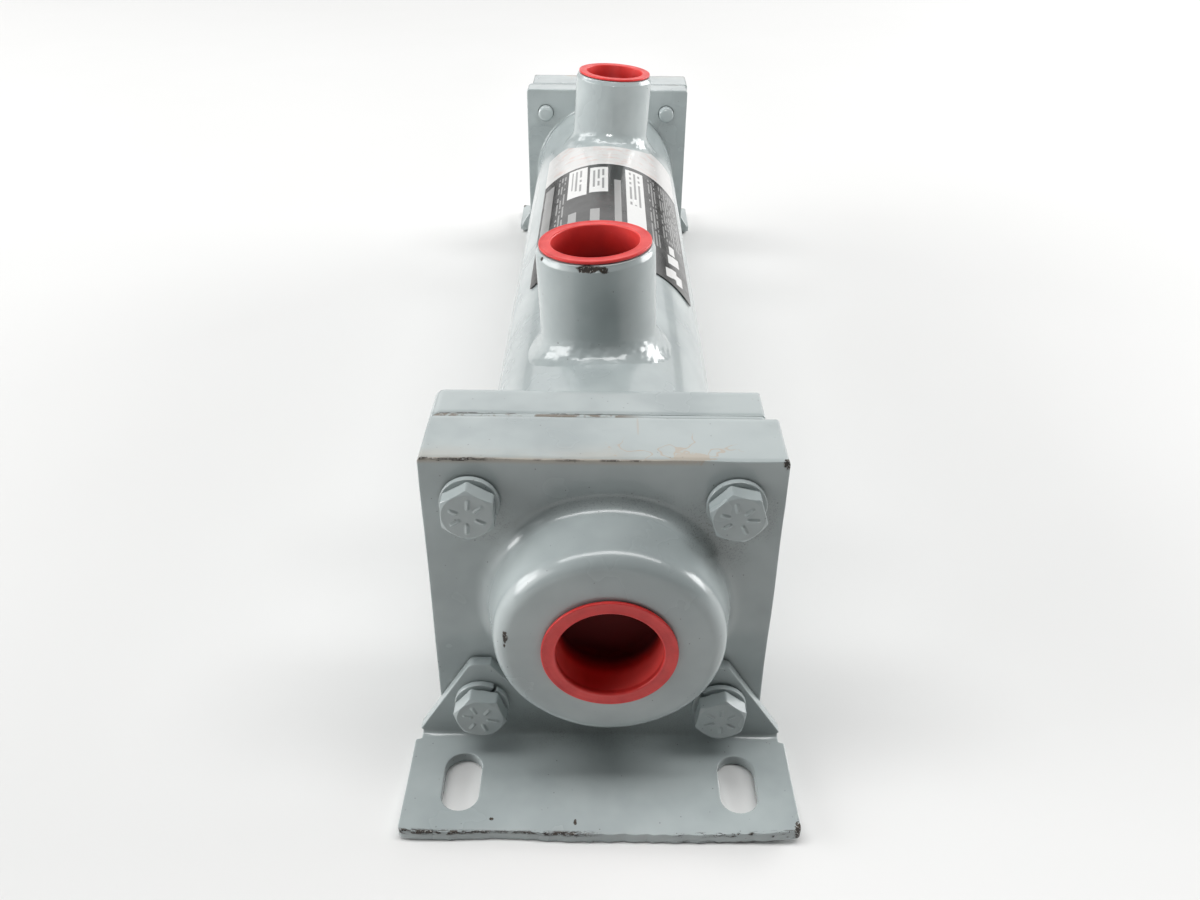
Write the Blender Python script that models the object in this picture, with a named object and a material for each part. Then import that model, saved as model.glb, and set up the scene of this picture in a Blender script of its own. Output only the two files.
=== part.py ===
"""Single-pass shell-and-tube oil cooler: a steel shell between two bolted bonnets,
carried on two foot brackets, with its four ports closed by hollow plastic plugs.

Metres, +Z up. X runs across the cooler, Y along it (the front bonnet is at -Y),
and the feet stand on z = 0.
"""

import math

import bmesh
import bpy
import numpy as np
from mathutils import Matrix, Vector

GAP = 0.0003                 # clearance between neighbouring pieces

# overall
AXIS_Z = 0.0484              # shell axis above the feet
HALF_LENGTH = 0.19685        # centre to the outer face of a bonnet flange

# bonnet
BONNET_WIDTH = 0.0889
BONNET_HEIGHT = 0.0889
BONNET_DEPTH = 0.0199
REAR_BONNET_WIDTH = 0.0844
REAR_BONNET_SHIFT = 0.0020
BOSS_SHIFT = 0.0020          # the front port sits a little off the middle of its flange
BOSS_BASE_R = 0.0345
BOSS_NECK_R = 0.0310
BOSS_RIM_R = 0.0293
BOSS_RIM_ROUND = 0.0032
BOSS_HEIGHT = 0.0182
CHAMBER_R = 0.0300
CHAMBER_DEPTH = 0.0150

# ports and plugs
PORT_BORE_R = 0.0147
PORT_BORE_DEPTH = 0.0165
PORT_THROAT_R = 0.0115
PLUG_RIM_R = 0.0169
PLUG_RIM_THICK = 0.0009
PLUG_BODY_R = 0.0143
PLUG_CUP_R = 0.0133
PLUG_LENGTH = 0.0145
PLUG_FLOOR = 0.0014
PLUG_TAPER = 0.0004

# gasket, hub, tube sheet
GASKET_THICK = 0.0007
GASKET_IN = 0.0004               # inside the hub's outline
WASHER_TURN = {(-1, -1): -60, (-1, 1): 0, (1, -1): 80, (1, 1): 140}
HUB_DEPTH = 0.0123
HUB_HEIGHT = 0.0862
FRONT_HUB = (0.0862, -0.0019)    # width and sideways shift
REAR_HUB = (0.0859, 0.0006)
SHEET_R = 0.0340
SHEET_THICK = 0.0054

# shell and oil ports
SHELL_R = 0.0364
SHELL_WALL = 0.0019
SHELL_IN_HUB = 0.0045
PORT_FROM_FACE = 0.0866          # port axis to the flange face of its end
COUPLING_R = 0.0180
COUPLING_FACE_R = 0.0173
COUPLING_TOP = 0.0647            # face above the shell axis
WELD_R = 0.0235
WELD_HEIGHT = 0.0055
FRONT_PORT_LEAN = math.radians(-2.4)
REAR_PORT_LEAN = math.radians(3.0)

# tubes and baffles
TUBE_R = 0.00476
TUBE_BORE_R = 0.0040
TUBE_PITCH = 0.0127
TUBE_RINGS = 2
BAFFLE_R = 0.0342
BAFFLE_THICK = 0.0020
BAFFLE_CUT = 0.0165
BAFFLE_SPACING = 0.0720

# bolts and washers
BOLT_OFFSET = 0.0324
BOLT_R = 0.00397
BOLT_LENGTH = 0.0397
HEX_FLATS = 0.0127
HEAD_HEIGHT = 0.0047
WASHER_R = 0.00745
WASHER_BORE_R = 0.0043
WASHER_THICK = 0.0017
WASHER_SPLIT = math.radians(14)
HOLE_R = 0.0044
TAPPED_R = 0.00428

# foot bracket
PLATE = 0.0032
BEND_R = 0.0012
FOOT_HALF = 0.0514
FOOT_REACH = 0.0366
EAR_TOP = 0.0192                 # below the axis
EAR_TOP_HALF = 0.0350
EAR_LOW_HALF = 0.0503
EAR_LOW = 0.0440
CUTOUT_R = 0.0362
CUTOUT_SHIFT = 0.0010
SLOT_X = 0.0368
SLOT_Y = 0.0205
SLOT_WIDTH = 0.0099
SLOT_LENGTH = 0.0188
RELIEF_IN = 0.0016               # side notch at the bend
RELIEF_OUT = 0.0064              # from the flange face
CUT_WIDE = 0.0600                # past every edge of the bracket

# label
LABEL_START = 0.1430             # from the front flange face
LABEL_END = 0.2960
LABEL_LEFT_ANGLE = math.radians(-48)
LABEL_RIGHT_ANGLE = math.radians(60)
LABEL_THICK = 0.0002
LABEL_CLEAR_R = 0.0242

PAINT = (0.50, 0.55, 0.55)
RED = (0.55, 0.02, 0.02)
COPPER = (0.60, 0.28, 0.16)
BRASS = (0.62, 0.48, 0.22)
STEEL = (0.45, 0.46, 0.47)
FIBRE = (0.10, 0.11, 0.11)
INK = (0.02, 0.02, 0.02)


def clear_scene():
    for obj in list(bpy.data.objects):
        bpy.data.objects.remove(obj, do_unlink=True)


def principled(name, color, roughness, metallic=0.0):
    made = bpy.data.materials.new(name)
    made.use_nodes = True
    shader = made.node_tree.nodes["Principled BSDF"]
    shader.inputs["Base Color"].default_value = (*color, 1.0)
    shader.inputs["Roughness"].default_value = roughness
    shader.inputs["Metallic"].default_value = metallic
    made.diffuse_color = (*color, 1.0)
    return made


def piece(name, points, faces, material, matrix=None, smooth=True):
    """A mesh object with outward normals, placed by a matrix."""
    mesh = bpy.data.meshes.new(name)
    mesh.from_pydata([tuple(map(float, p)) for p in points], [], [tuple(map(int, f)) for f in faces])
    work = bmesh.new()
    work.from_mesh(mesh)
    bmesh.ops.recalc_face_normals(work, faces=work.faces)
    work.to_mesh(mesh)
    work.free()
    for face in mesh.polygons:
        face.use_smooth = smooth
    obj = bpy.data.objects.new(name, mesh)
    bpy.context.scene.collection.objects.link(obj)
    if material:
        mesh.materials.append(material)
        mesh.set_sharp_from_angle(angle=math.radians(35))
    if matrix is not None:
        obj.matrix_world = matrix
    return obj


def cutter(name, points, faces, matrix=None):
    obj = piece(name, points, faces, None, matrix)
    obj.hide_render = True
    obj.display_type = "WIRE"
    return obj


def boolean(target, others, operation="DIFFERENCE"):
    for other in others:
        mod = target.modifiers.new(operation.title() + " " + other.name, "BOOLEAN")
        mod.operation = operation
        mod.solver = "EXACT"
        mod.object = other


def turned(profile, turns):
    """Points and faces of a profile of (radius, height) turned about local Z.

    A profile that starts and ends on the axis closes there; any other is a closed loop.
    """
    rows = np.array(profile, float)
    angle = np.arange(turns) * 2 * math.pi / turns
    solid = rows[0, 0] == 0
    body = rows[1:-1] if solid else rows
    ring = np.stack([np.cos(angle), np.sin(angle)], 1)
    points = [(r * c, r * s, h) for r, h in body for c, s in ring]
    faces = []
    count = len(body)
    for i in range(count - 1 if solid else count):
        for j in range(turns):
            k = (j + 1) % turns
            low, high = i * turns, (i + 1) % count * turns
            faces.append((low + j, low + k, high + k, high + j))
    if solid:
        for row, start, near in ((rows[0], 0, body[0]), (rows[-1], (count - 1) * turns, body[-1])):
            loop = tuple(range(start, start + turns))
            if row[1] == near[1]:
                faces.append(loop)
                continue
            centre = len(points)
            points.append((0, 0, row[1]))
            faces += [(centre, a, b) for a, b in zip(loop, loop[1:] + loop[:1])]
    return points, faces


def rod(radius, low, high, turns):
    return turned([(0, low), (radius, low), (radius, high), (0, high)], turns)


def pipe(inner, outer, low, high, turns):
    return turned([(inner, low), (outer, low), (outer, high), (inner, high)], turns)


def prism(outline, low, high):
    """A polygon in local X and Y, carried from z = low to z = high."""
    count = len(outline)
    points = [(x, y, z) for z in (low, high) for x, y in outline]
    sides = [(i, (i + 1) % count, count + (i + 1) % count, count + i) for i in range(count)]
    return points, sides + [tuple(range(count)), tuple(range(count, 2 * count))]


def box(low, high):
    (a, b, c), (d, e, f) = low, high
    return prism([(a, b), (d, b), (d, e), (a, e)], c, f)


def arc(centre, radius, start, end, steps):
    angle = np.radians(np.linspace(start, end, steps + 1))
    return [(centre[0] + radius * math.cos(a), centre[1] + radius * math.sin(a)) for a in angle]


def end_frame(end, inward=0.0, x=0.0, z=0.0):
    """Local Z points outward from an end, local X stays across and local Y points up.

    end is -1 at the front and +1 at the rear; inward is measured from the flange face.
    """
    place = Vector((x, end * (HALF_LENGTH - inward), AXIS_Z + z))
    across = Vector((-end, 0, 0))
    up = Vector((0, 0, 1))
    out = Vector((0, end, 0))
    turn = Matrix((across, up, out)).transposed().to_4x4()
    return Matrix.Translation(place) @ turn


def port_frame(end):
    """Local Z along an oil port, from the shell axis outward."""
    lean = FRONT_PORT_LEAN if end < 0 else REAR_PORT_LEAN
    place = Vector((0, end * (HALF_LENGTH - PORT_FROM_FACE), AXIS_Z))
    return Matrix.Translation(place) @ Matrix.Rotation(lean, 4, "Y")


def along_shell():
    """Local Z along world Y, local X across, from the middle of the shell."""
    return Matrix.Translation((0, 0, AXIS_Z)) @ Matrix.Rotation(math.radians(90), 4, "X").inverted()


def bolt_places():
    return [(sx, sz) for sz in (1, -1) for sx in (-1, 1)]


def hole_cutters(name, end, radius, inward, depth, turns=12):
    made = []
    for i, (sx, sz) in enumerate(bolt_places()):
        frame = end_frame(end, inward, sx * BOLT_OFFSET, sz * BOLT_OFFSET)
        points, faces = rod(radius, -depth, 0.001, turns)
        made.append(cutter(f"{name}_hole_{i}", points, faces, frame))
    return made


def boss_profile():
    fillet = BOSS_BASE_R - BOSS_NECK_R
    base = arc((BOSS_BASE_R, fillet), fillet, 260, 180, 3)
    rim_mid = (BOSS_RIM_R - BOSS_RIM_ROUND, BOSS_HEIGHT - BOSS_RIM_ROUND)
    rim = arc(rim_mid, BOSS_RIM_ROUND, 0, 90, 3)
    return [(0, -0.004), (BOSS_BASE_R, -0.004)] + base + rim + [(0, BOSS_HEIGHT)]


def water_way_profile():
    """The room inside a bonnet: wide chamber, throat, then the bore for the plug."""
    deep = -BONNET_DEPTH
    return [
        (0, deep - 0.001),
        (CHAMBER_R, deep - 0.001),
        (CHAMBER_R, deep + CHAMBER_DEPTH - 0.005),
        (PORT_THROAT_R + 0.010, deep + CHAMBER_DEPTH),
        (PORT_THROAT_R, deep + CHAMBER_DEPTH + 0.001),
        (PORT_THROAT_R, BOSS_HEIGHT - PORT_BORE_DEPTH),
        (PORT_BORE_R, BOSS_HEIGHT - PORT_BORE_DEPTH),
        (PORT_BORE_R, BOSS_HEIGHT + 0.001),
        (0, BOSS_HEIGHT + 0.001),
    ]


def build_bonnet(name, end, width, shift, port_x, paint):
    frame = end_frame(end)
    left, right = sorted((-end * (shift - width / 2), -end * (shift + width / 2)))
    half = BONNET_HEIGHT / 2
    points, faces = box((left, -half, -BONNET_DEPTH), (right, half, 0))
    flange = piece(name, points, faces, paint, frame)
    bevel = flange.modifiers.new("Cast edges", "BEVEL")
    bevel.width = 0.0008
    bevel.segments = 2
    port = end_frame(end, 0, port_x)
    points, faces = turned(boss_profile(), 40)
    boss = cutter(name + "_boss", points, faces, port)
    points, faces = turned(water_way_profile(), 32)
    way = cutter(name + "_way", points, faces, port)
    boolean(flange, [boss], "UNION")
    boolean(flange, [way] + hole_cutters(name, end, HOLE_R, 0, BONNET_DEPTH + 0.001))
    return flange


def hub_outline(end, size, inset):
    """Corners of the hub's outline in an end's own frame: its top is level with the bonnet's."""
    width, shift = size
    left, right = sorted((-end * (shift - width / 2), -end * (shift + width / 2)))
    top = BONNET_HEIGHT / 2
    return (left + inset, top - HUB_HEIGHT + inset), (right - inset, top - inset)


def build_gasket(name, end, size, fibre):
    """A thin sheet a little smaller than the hub, with the chamber's opening and four bolt holes."""
    start = BONNET_DEPTH + GAP
    low, high = hub_outline(end, size, GASKET_IN)
    points, faces = box((*low, -GASKET_THICK), (*high, 0))
    gasket = piece(name, points, faces, fibre, end_frame(end, start), smooth=False)
    points, faces = rod(CHAMBER_R, -GASKET_THICK - 0.001, 0.001, 36)
    eye = cutter(name + "_eye", points, faces, end_frame(end, start))
    boolean(gasket, [eye] + hole_cutters(name, end, HOLE_R, start, GASKET_THICK + 0.001))


def hub_start():
    return BONNET_DEPTH + GASKET_THICK + 2 * GAP


def hub_end():
    return hub_start() + HUB_DEPTH


def build_hub(name, end, size, paint):
    """A plate with a stepped bore: tube sheet outside, stop ring, shell inside."""
    start = hub_start()
    low, high = hub_outline(end, size, 0)
    points, faces = box((*low, -HUB_DEPTH), (*high, 0))
    hub = piece(name, points, faces, paint, end_frame(end, start))
    bevel = hub.modifiers.new("Plate edges", "BEVEL")
    bevel.width = 0.0006
    bevel.segments = 1
    sheet_depth = SHEET_THICK + GAP
    socket = HUB_DEPTH - SHELL_IN_HUB - GAP
    steps = [
        (0, 0.001), (SHEET_R + GAP, 0.001), (SHEET_R + GAP, -sheet_depth),
        (SHEET_R - 0.0015, -sheet_depth), (SHEET_R - 0.0015, -socket),
        (SHELL_R + GAP, -socket), (SHELL_R + GAP, -HUB_DEPTH - 0.001),
        (0, -HUB_DEPTH - 0.001),
    ]
    points, faces = turned(steps, 48)
    bore = cutter(name + "_bore", points, faces, end_frame(end, start))
    boolean(hub, [bore] + hole_cutters(name, end, TAPPED_R, start, HUB_DEPTH + 0.001))


def tube_places():
    """Tube centres on a hexagonal grid, row by row."""
    places = []
    for row in range(-TUBE_RINGS, TUBE_RINGS + 1):
        count = 2 * TUBE_RINGS + 1 - abs(row)
        for i in range(count):
            x = (i - (count - 1) / 2) * TUBE_PITCH
            places.append((x, row * TUBE_PITCH * math.sqrt(3) / 2))
    return places


def tube_holes(name, places, frame, low, high):
    made = []
    for i, (x, z) in enumerate(places):
        points, faces = rod(TUBE_R + GAP, low, high, 10)
        moved = frame @ Matrix.Translation((x, z, 0))
        made.append(cutter(f"{name}_tube_hole_{i}", points, faces, moved))
    return made


def build_tube_sheet(name, end, brass):
    frame = end_frame(end, hub_start())
    points, faces = rod(SHEET_R, -SHEET_THICK, 0, 48)
    sheet = piece(name, points, faces, brass, frame)
    boolean(sheet, tube_holes(name, tube_places(), frame, -SHEET_THICK - 0.001, 0.001))


def build_tubes(copper):
    half = HALF_LENGTH - hub_start() - 0.0004
    for i, (x, z) in enumerate(tube_places()):
        points, faces = pipe(TUBE_BORE_R, TUBE_R, -half, half, 10)
        frame = end_frame(1, HALF_LENGTH) @ Matrix.Translation((x, z, 0))
        piece(f"tube_{i + 1:02d}", points, faces, copper, frame)


def build_baffle(name, index, steel):
    frame = end_frame(1, HALF_LENGTH - (index - 1) * BAFFLE_SPACING)
    half = BAFFLE_THICK / 2
    side = 1 if index % 2 == 0 else -1
    points, faces = rod(BAFFLE_R, -half, half, 36)
    baffle = piece(name, points, faces, steel, frame)
    edge = sorted((side * BAFFLE_CUT, side * 0.040))
    points, faces = box((-0.040, edge[0], -0.002), (0.040, edge[1], 0.002))
    window = cutter(name + "_window", points, faces, frame)
    places = [p for p in tube_places() if side * p[1] < BAFFLE_CUT]
    boolean(baffle, [window] + tube_holes(name, places, frame, -0.002, 0.002))


def build_shell(paint):
    half = HALF_LENGTH - hub_end() + SHELL_IN_HUB
    frame = end_frame(1, HALF_LENGTH)
    points, faces = pipe(SHELL_R - SHELL_WALL, SHELL_R, -half, half, 64)
    shell = piece("shell_tube", points, faces, paint, frame)
    ways = []
    for end in (-1, 1):
        points, faces = rod(PORT_THROAT_R, 0.020, 0.045, 24)
        ways.append(cutter(f"shell_way_{end}", points, faces, port_frame(end)))
    boolean(shell, ways)


def saddle(radius, angle):
    """Height of the shell's outside, plus the clearance, at a distance from the port axis."""
    across = radius * np.cos(angle)
    reach = SHELL_R + GAP
    return np.sqrt(reach**2 - across**2)


def build_coupling(name, end, paint):
    """A turned coupling whose foot and weld follow the shell's curve."""
    turns = 36
    angle = np.arange(turns) * 2 * math.pi / turns
    flat = np.ones(turns)
    bore_low = COUPLING_TOP - PORT_BORE_DEPTH
    rings = [
        (PORT_THROAT_R, saddle(PORT_THROAT_R, angle)),
        (COUPLING_R, saddle(COUPLING_R, angle)),
        (WELD_R, saddle(WELD_R, angle)),
        (WELD_R - 0.0002, saddle(WELD_R, angle) + 0.0006),
        (WELD_R - 0.0024, saddle(WELD_R - 0.0024, angle) + 0.0020),
        (COUPLING_R, saddle(COUPLING_R, angle) + WELD_HEIGHT),
        (COUPLING_R, (COUPLING_TOP - 0.0016) * flat),
        (COUPLING_FACE_R, COUPLING_TOP * flat),
        (PORT_BORE_R, COUPLING_TOP * flat),
        (PORT_BORE_R, bore_low * flat),
        (PORT_THROAT_R, bore_low * flat),
    ]
    points = []
    for radius, height in rings:
        points += list(zip(radius * np.cos(angle), radius * np.sin(angle), height))
    count = len(rings)
    faces = []
    for i in range(count):
        for j in range(turns):
            k = (j + 1) % turns
            low, high = i * turns, (i + 1) % count * turns
            faces.append((low + j, low + k, high + k, high + j))
    piece(name, points, faces, paint, port_frame(end))


def plug_profile():
    """A hollow cup under a flat rim; height 0 is the face it seats against."""
    rim = GAP + PLUG_RIM_THICK
    low = -PLUG_LENGTH
    return [
        (0, low),
        (PLUG_BODY_R - PLUG_TAPER, low),
        (PLUG_BODY_R, GAP),
        (PLUG_RIM_R, GAP),
        (PLUG_RIM_R, rim - 0.0003),
        (PLUG_RIM_R - 0.0003, rim),
        (PLUG_CUP_R + 0.0003, rim),
        (PLUG_CUP_R, rim - 0.0006),
        (PLUG_CUP_R - PLUG_TAPER, low + PLUG_FLOOR),
        (0, low + PLUG_FLOOR),
    ]


def build_plug(name, frame, red):
    points, faces = turned(plug_profile(), 26)
    piece(name, points, faces, red, frame)


def hex_outline(flats):
    across = flats / math.sqrt(3)
    return [(across * math.cos(a), across * math.sin(a)) for a in np.radians(np.arange(30, 390, 60))]


def build_bolt(name, end, sx, sz, paint):
    """A hexagon head with a turned shank; the lower bolts also hold a bracket."""
    seat = GAP + WASHER_THICK + GAP + (PLATE + GAP if sz < 0 else 0)
    frame = end_frame(end, 0, sx * BOLT_OFFSET, sz * BOLT_OFFSET)
    points, faces = prism(hex_outline(HEX_FLATS), seat, seat + HEAD_HEIGHT)
    bolt = piece(name, points, faces, paint, frame)
    low = seat - BOLT_LENGTH
    shank = [
        (0, low), (BOLT_R - 0.0008, low), (BOLT_R, low + 0.0008),
        (BOLT_R, seat + 0.001), (0, seat + 0.001),
    ]
    points, faces = turned(shank, 12)
    boolean(bolt, [cutter(name + "_shank", points, faces, frame)], "UNION")
    cone = [
        (HEX_FLATS / 2 - 0.0004, seat + HEAD_HEIGHT + 0.0002),
        (HEX_FLATS / 2 + 0.0020, seat + HEAD_HEIGHT - 0.0012),
        (HEX_FLATS / 2 + 0.0020, seat + HEAD_HEIGHT + 0.0002),
    ]
    points, faces = turned(cone, 24)
    boolean(bolt, [cutter(name + "_chamfer", points, faces, frame)])


def build_washer(name, end, sx, sz, paint):
    """A split ring of rectangular section."""
    low = GAP + (PLATE + GAP if sz < 0 else 0)
    steps = 18
    sweep = np.linspace(WASHER_SPLIT / 2, 2 * math.pi - WASHER_SPLIT / 2, steps + 1)
    section = [
        (WASHER_BORE_R, low), (WASHER_R, low),
        (WASHER_R, low + WASHER_THICK), (WASHER_BORE_R, low + WASHER_THICK),
    ]
    points = [(r * math.cos(a), r * math.sin(a), h) for a in sweep for r, h in section]
    faces = []
    for i in range(steps):
        for j in range(4):
            k = (j + 1) % 4
            faces.append((4 * i + j, 4 * i + k, 4 * i + 4 + k, 4 * i + 4 + j))
    faces += [(0, 1, 2, 3), tuple(4 * steps + j for j in range(4))]
    frame = end_frame(end, 0, sx * BOLT_OFFSET, sz * BOLT_OFFSET)
    turn = Matrix.Rotation(math.radians(WASHER_TURN[sx, sz]), 4, "Z")
    piece(name, points, faces, paint, frame @ turn)


def bracket_section():
    """The L in side view: first coordinate outward from the flange face, second up."""
    back, front = GAP, GAP + PLATE
    floor = -AXIS_Z
    bend = (front + BEND_R, floor + PLATE + BEND_R)
    inner = arc(bend, BEND_R, 180, 270, 4)
    outer = arc(bend, BEND_R + PLATE, 270, 180, 5)
    foot = [(front + FOOT_REACH - GAP - PLATE, floor + PLATE), (front + FOOT_REACH - GAP - PLATE, floor)]
    return [(back, -EAR_TOP), (front, -EAR_TOP)] + inner + foot + outer


def stadium(x, y, width, length, steps=6):
    r = width / 2
    d = length / 2 - r
    return arc((x, y + d), r, 0, 180, steps) + arc((x, y - d), r, 180, 360, steps)


def build_bracket(name, end, paint):
    frame = end_frame(end)
    section = bracket_section()
    count = len(section)
    points = [(x, up, out) for x in (-FOOT_HALF, FOOT_HALF) for out, up in section]
    sides = [(i, (i + 1) % count, count + (i + 1) % count, count + i) for i in range(count)]
    caps = [tuple(range(count)), tuple(range(count, 2 * count))]
    bracket = piece(name, points, sides + caps, paint, frame)
    cuts = []
    for side in (-1, 1):
        ear = [
            (side * EAR_TOP_HALF, -EAR_TOP + 0.001),
            (side * EAR_TOP_HALF, -EAR_TOP),
            (side * EAR_LOW_HALF, -EAR_LOW),
            (side * CUT_WIDE, -EAR_LOW),
            (side * CUT_WIDE, -EAR_TOP + 0.001),
        ]
        points, faces = prism(ear, -0.002, 0.006)
        cuts.append(cutter(f"{name}_slant_{side}", points, faces, frame))
        edge = sorted((side * (FOOT_HALF - RELIEF_IN), side * CUT_WIDE))
        points, faces = box((edge[0], -CUT_WIDE, -0.002), (edge[1], -EAR_LOW + 0.00001, RELIEF_OUT))
        cuts.append(cutter(f"{name}_relief_{side}", points, faces, frame))
        outline = stadium(side * SLOT_X, 0, SLOT_WIDTH, SLOT_LENGTH)
        points, faces = prism(outline, -0.050, -0.040)
        points = [(x, z, y + SLOT_Y) for x, y, z in points]
        cuts.append(cutter(f"{name}_slot_{side}", points, faces, frame))
        points, faces = rod(HOLE_R, -0.001, 0.006, 12)
        place = frame @ Matrix.Translation((side * BOLT_OFFSET, -BOLT_OFFSET, 0))
        cuts.append(cutter(f"{name}_hole_{side}", points, faces, place))
    points, faces = rod(CUTOUT_R, -0.002, 0.006, 48)
    eye = frame @ Matrix.Translation((-end * CUTOUT_SHIFT if end < 0 else 0, 0, 0))
    cuts.append(cutter(name + "_eye", points, faces, eye))
    boolean(bracket, cuts)


def build_label(ink):
    """A thin sheet wrapped over the shell, cut round the rear port's weld."""
    steps = 30
    low = SHELL_R + GAP
    sweep = math.radians(90) - np.linspace(LABEL_RIGHT_ANGLE, LABEL_LEFT_ANGLE, steps + 1)
    front, rear = -HALF_LENGTH + LABEL_START, -HALF_LENGTH + LABEL_END
    section = [(low, front), (low + LABEL_THICK, front), (low + LABEL_THICK, rear), (low, rear)]
    points = [(r * math.cos(a), y, AXIS_Z + r * math.sin(a)) for a in sweep for r, y in section]
    faces = []
    for i in range(steps):
        for j in range(4):
            k = (j + 1) % 4
            faces.append((4 * i + j, 4 * i + k, 4 * i + 4 + k, 4 * i + 4 + j))
    faces += [(0, 1, 2, 3), tuple(4 * steps + j for j in range(4))]
    label = piece("name_label", points, faces, ink)
    points, faces = rod(LABEL_CLEAR_R, 0.020, 0.050, 32)
    boolean(label, [cutter("label_clear", points, faces, port_frame(1))])


def build_fasteners(end, word, paint):
    for sx, sz in bolt_places():
        side = "left" if sx < 0 else "right"
        level = "upper" if sz > 0 else "lower"
        build_bolt(f"{word}_bolt_{level}_{side}", end, sx, sz, paint)
        build_washer(f"{word}_lock_washer_{level}_{side}", end, sx, sz, paint)


def main():
    clear_scene()
    paint = principled("blue_grey_paint", PAINT, 0.25)
    red = principled("red_plastic", RED, 0.35)
    copper = principled("copper_tube", COPPER, 0.35, 1.0)
    brass = principled("brass_sheet", BRASS, 0.35, 1.0)
    steel = principled("baffle_steel", STEEL, 0.40, 1.0)
    fibre = principled("gasket_fibre", FIBRE, 0.80)
    ink = principled("label_black", INK, 0.40)

    build_shell(paint)
    build_tubes(copper)
    for i in range(3):
        build_baffle(f"baffle_{i + 1}", i, steel)
    for end, word in ((-1, "front"), (1, "rear")):
        width, shift, port_x = (
            (BONNET_WIDTH, 0.0, BOSS_SHIFT) if end < 0 else (REAR_BONNET_WIDTH, REAR_BONNET_SHIFT, 0.0)
        )
        build_bonnet(f"{word}_bonnet", end, width, shift, port_x, paint)
        size = FRONT_HUB if end < 0 else REAR_HUB
        build_gasket(f"{word}_gasket", end, size, fibre)
        build_hub(f"{word}_hub", end, size, paint)
        build_tube_sheet(f"{word}_tube_sheet", end, brass)
        build_coupling(f"{word}_oil_coupling", end, paint)
        build_bracket(f"{word}_foot_bracket", end, paint)
        build_fasteners(end, word, paint)
        seat = end_frame(end, -BOSS_HEIGHT, port_x)
        build_plug(f"{word}_water_plug", seat, red)
        oil_seat = port_frame(end) @ Matrix.Translation((0, 0, COUPLING_TOP))
        build_plug(f"{word}_oil_plug", oil_seat, red)
    build_label(ink)


main()
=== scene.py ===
import math
from functools import partial

import bmesh
import bpy
import numpy as np
from bpy.props import FloatProperty, FloatVectorProperty, PointerProperty
from mathutils import Matrix, Vector
from mathutils.geometry import delaunay_2d_cdt


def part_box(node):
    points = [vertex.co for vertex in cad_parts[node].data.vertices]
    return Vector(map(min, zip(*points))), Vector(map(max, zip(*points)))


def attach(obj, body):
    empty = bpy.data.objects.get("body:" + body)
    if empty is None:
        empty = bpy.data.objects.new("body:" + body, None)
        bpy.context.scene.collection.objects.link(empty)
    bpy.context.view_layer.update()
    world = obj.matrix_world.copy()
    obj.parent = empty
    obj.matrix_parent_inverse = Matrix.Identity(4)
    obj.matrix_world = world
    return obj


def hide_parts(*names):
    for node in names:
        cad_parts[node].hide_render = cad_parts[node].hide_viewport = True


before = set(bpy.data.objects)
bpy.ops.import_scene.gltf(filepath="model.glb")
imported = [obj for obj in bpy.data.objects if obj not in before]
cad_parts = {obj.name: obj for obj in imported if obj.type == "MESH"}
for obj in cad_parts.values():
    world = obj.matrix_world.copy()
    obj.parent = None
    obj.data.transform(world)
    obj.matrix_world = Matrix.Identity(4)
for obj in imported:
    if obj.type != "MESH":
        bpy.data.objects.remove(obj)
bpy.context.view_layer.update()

bl_info = {
    "name": "Hydraulic oil cooler",
    "version": (1, 0, 0),
    "blender": (4, 5, 0),
    "location": "3D Viewport > Sidebar > Cooler",
    "description": "Builds a shell-and-tube oil cooler, painted and plugged, around its CAD frame",
    "category": "Object",
}

BODY = "cooler"
ENDS = ("front", "rear")
TURN = 2 * math.pi
MM = 0.001
GAP = 0.3 * MM               # clearance between neighbouring solids
LIP = 0.5 * MM               # bevel at the mouth of a port
BOLT_HOLE = 4.4 * MM         # radius of the holes that the bolts pass through


# ---------------------------------------------------------------- places read from the frame

def middle(node):
    """The middle of a node's box."""
    low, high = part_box(node)
    return np.array((low + high) / 2)


def extent(node):
    """How far a node's box reaches along x, y and z."""
    low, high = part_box(node)
    return np.array(high - low)


def nodes_named(start):
    """The frame's nodes whose names start with a word, in order."""
    return sorted(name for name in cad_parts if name.startswith(start))


AXIS = middle("shell_tube")
SHELL_R = extent("shell_tube")[0] / 2


def outward(word):
    """-1 at the front end and +1 at the rear, from where that end's bonnet lies."""
    return math.copysign(1.0, middle(word + "_bonnet")[1])


def flange_face(word):
    """Lengthwise place of the flange face: the bonnet's far tip less the height of its boss."""
    tip = abs(middle(word + "_bonnet")[1]) + extent(word + "_bonnet")[1] / 2
    return outward(word) * (tip - bpy.context.scene.cooler_bonnet.boss_height)


def end_matrix(word):
    """Rows that carry across, up and outward to the frame's x, y and z: a turn, never a mirror."""
    end = outward(word)
    return np.array([[-end, 0, 0], [0, 0, 1], [0, end, 0]])


def from_end(word, local, x=0.0, z=0.0):
    """Points given across, up and outward from the middle of a flange face, put in the frame."""
    base = np.array([x, flange_face(word), AXIS[2] + z])
    return base + local @ end_matrix(word)


def port_axis(word):
    """Foot and direction of an oil port's axis: from the shell axis through the plug's middle."""
    plug = middle(word + "_oil_plug")
    foot = np.array([AXIS[0], middle(word + "_oil_coupling")[1], AXIS[2]])
    lean = math.atan2(plug[0] - foot[0], plug[2] - foot[2])
    return foot, lean


def from_port(word, local):
    """Points given across, along and up an oil port's axis, put in the frame: a turn by its lean."""
    foot, lean = port_axis(word)
    c, s = math.cos(lean), math.sin(lean)
    return foot + local @ np.array([[c, 0, -s], [0, 1, 0], [s, 0, c]])


# ---------------------------------------------------------------- sizes and colours

def size(label, description, default):
    """A length in metres that a user can change."""
    return FloatProperty(name=label, description=description, default=default, unit="LENGTH", precision=5)


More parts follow.
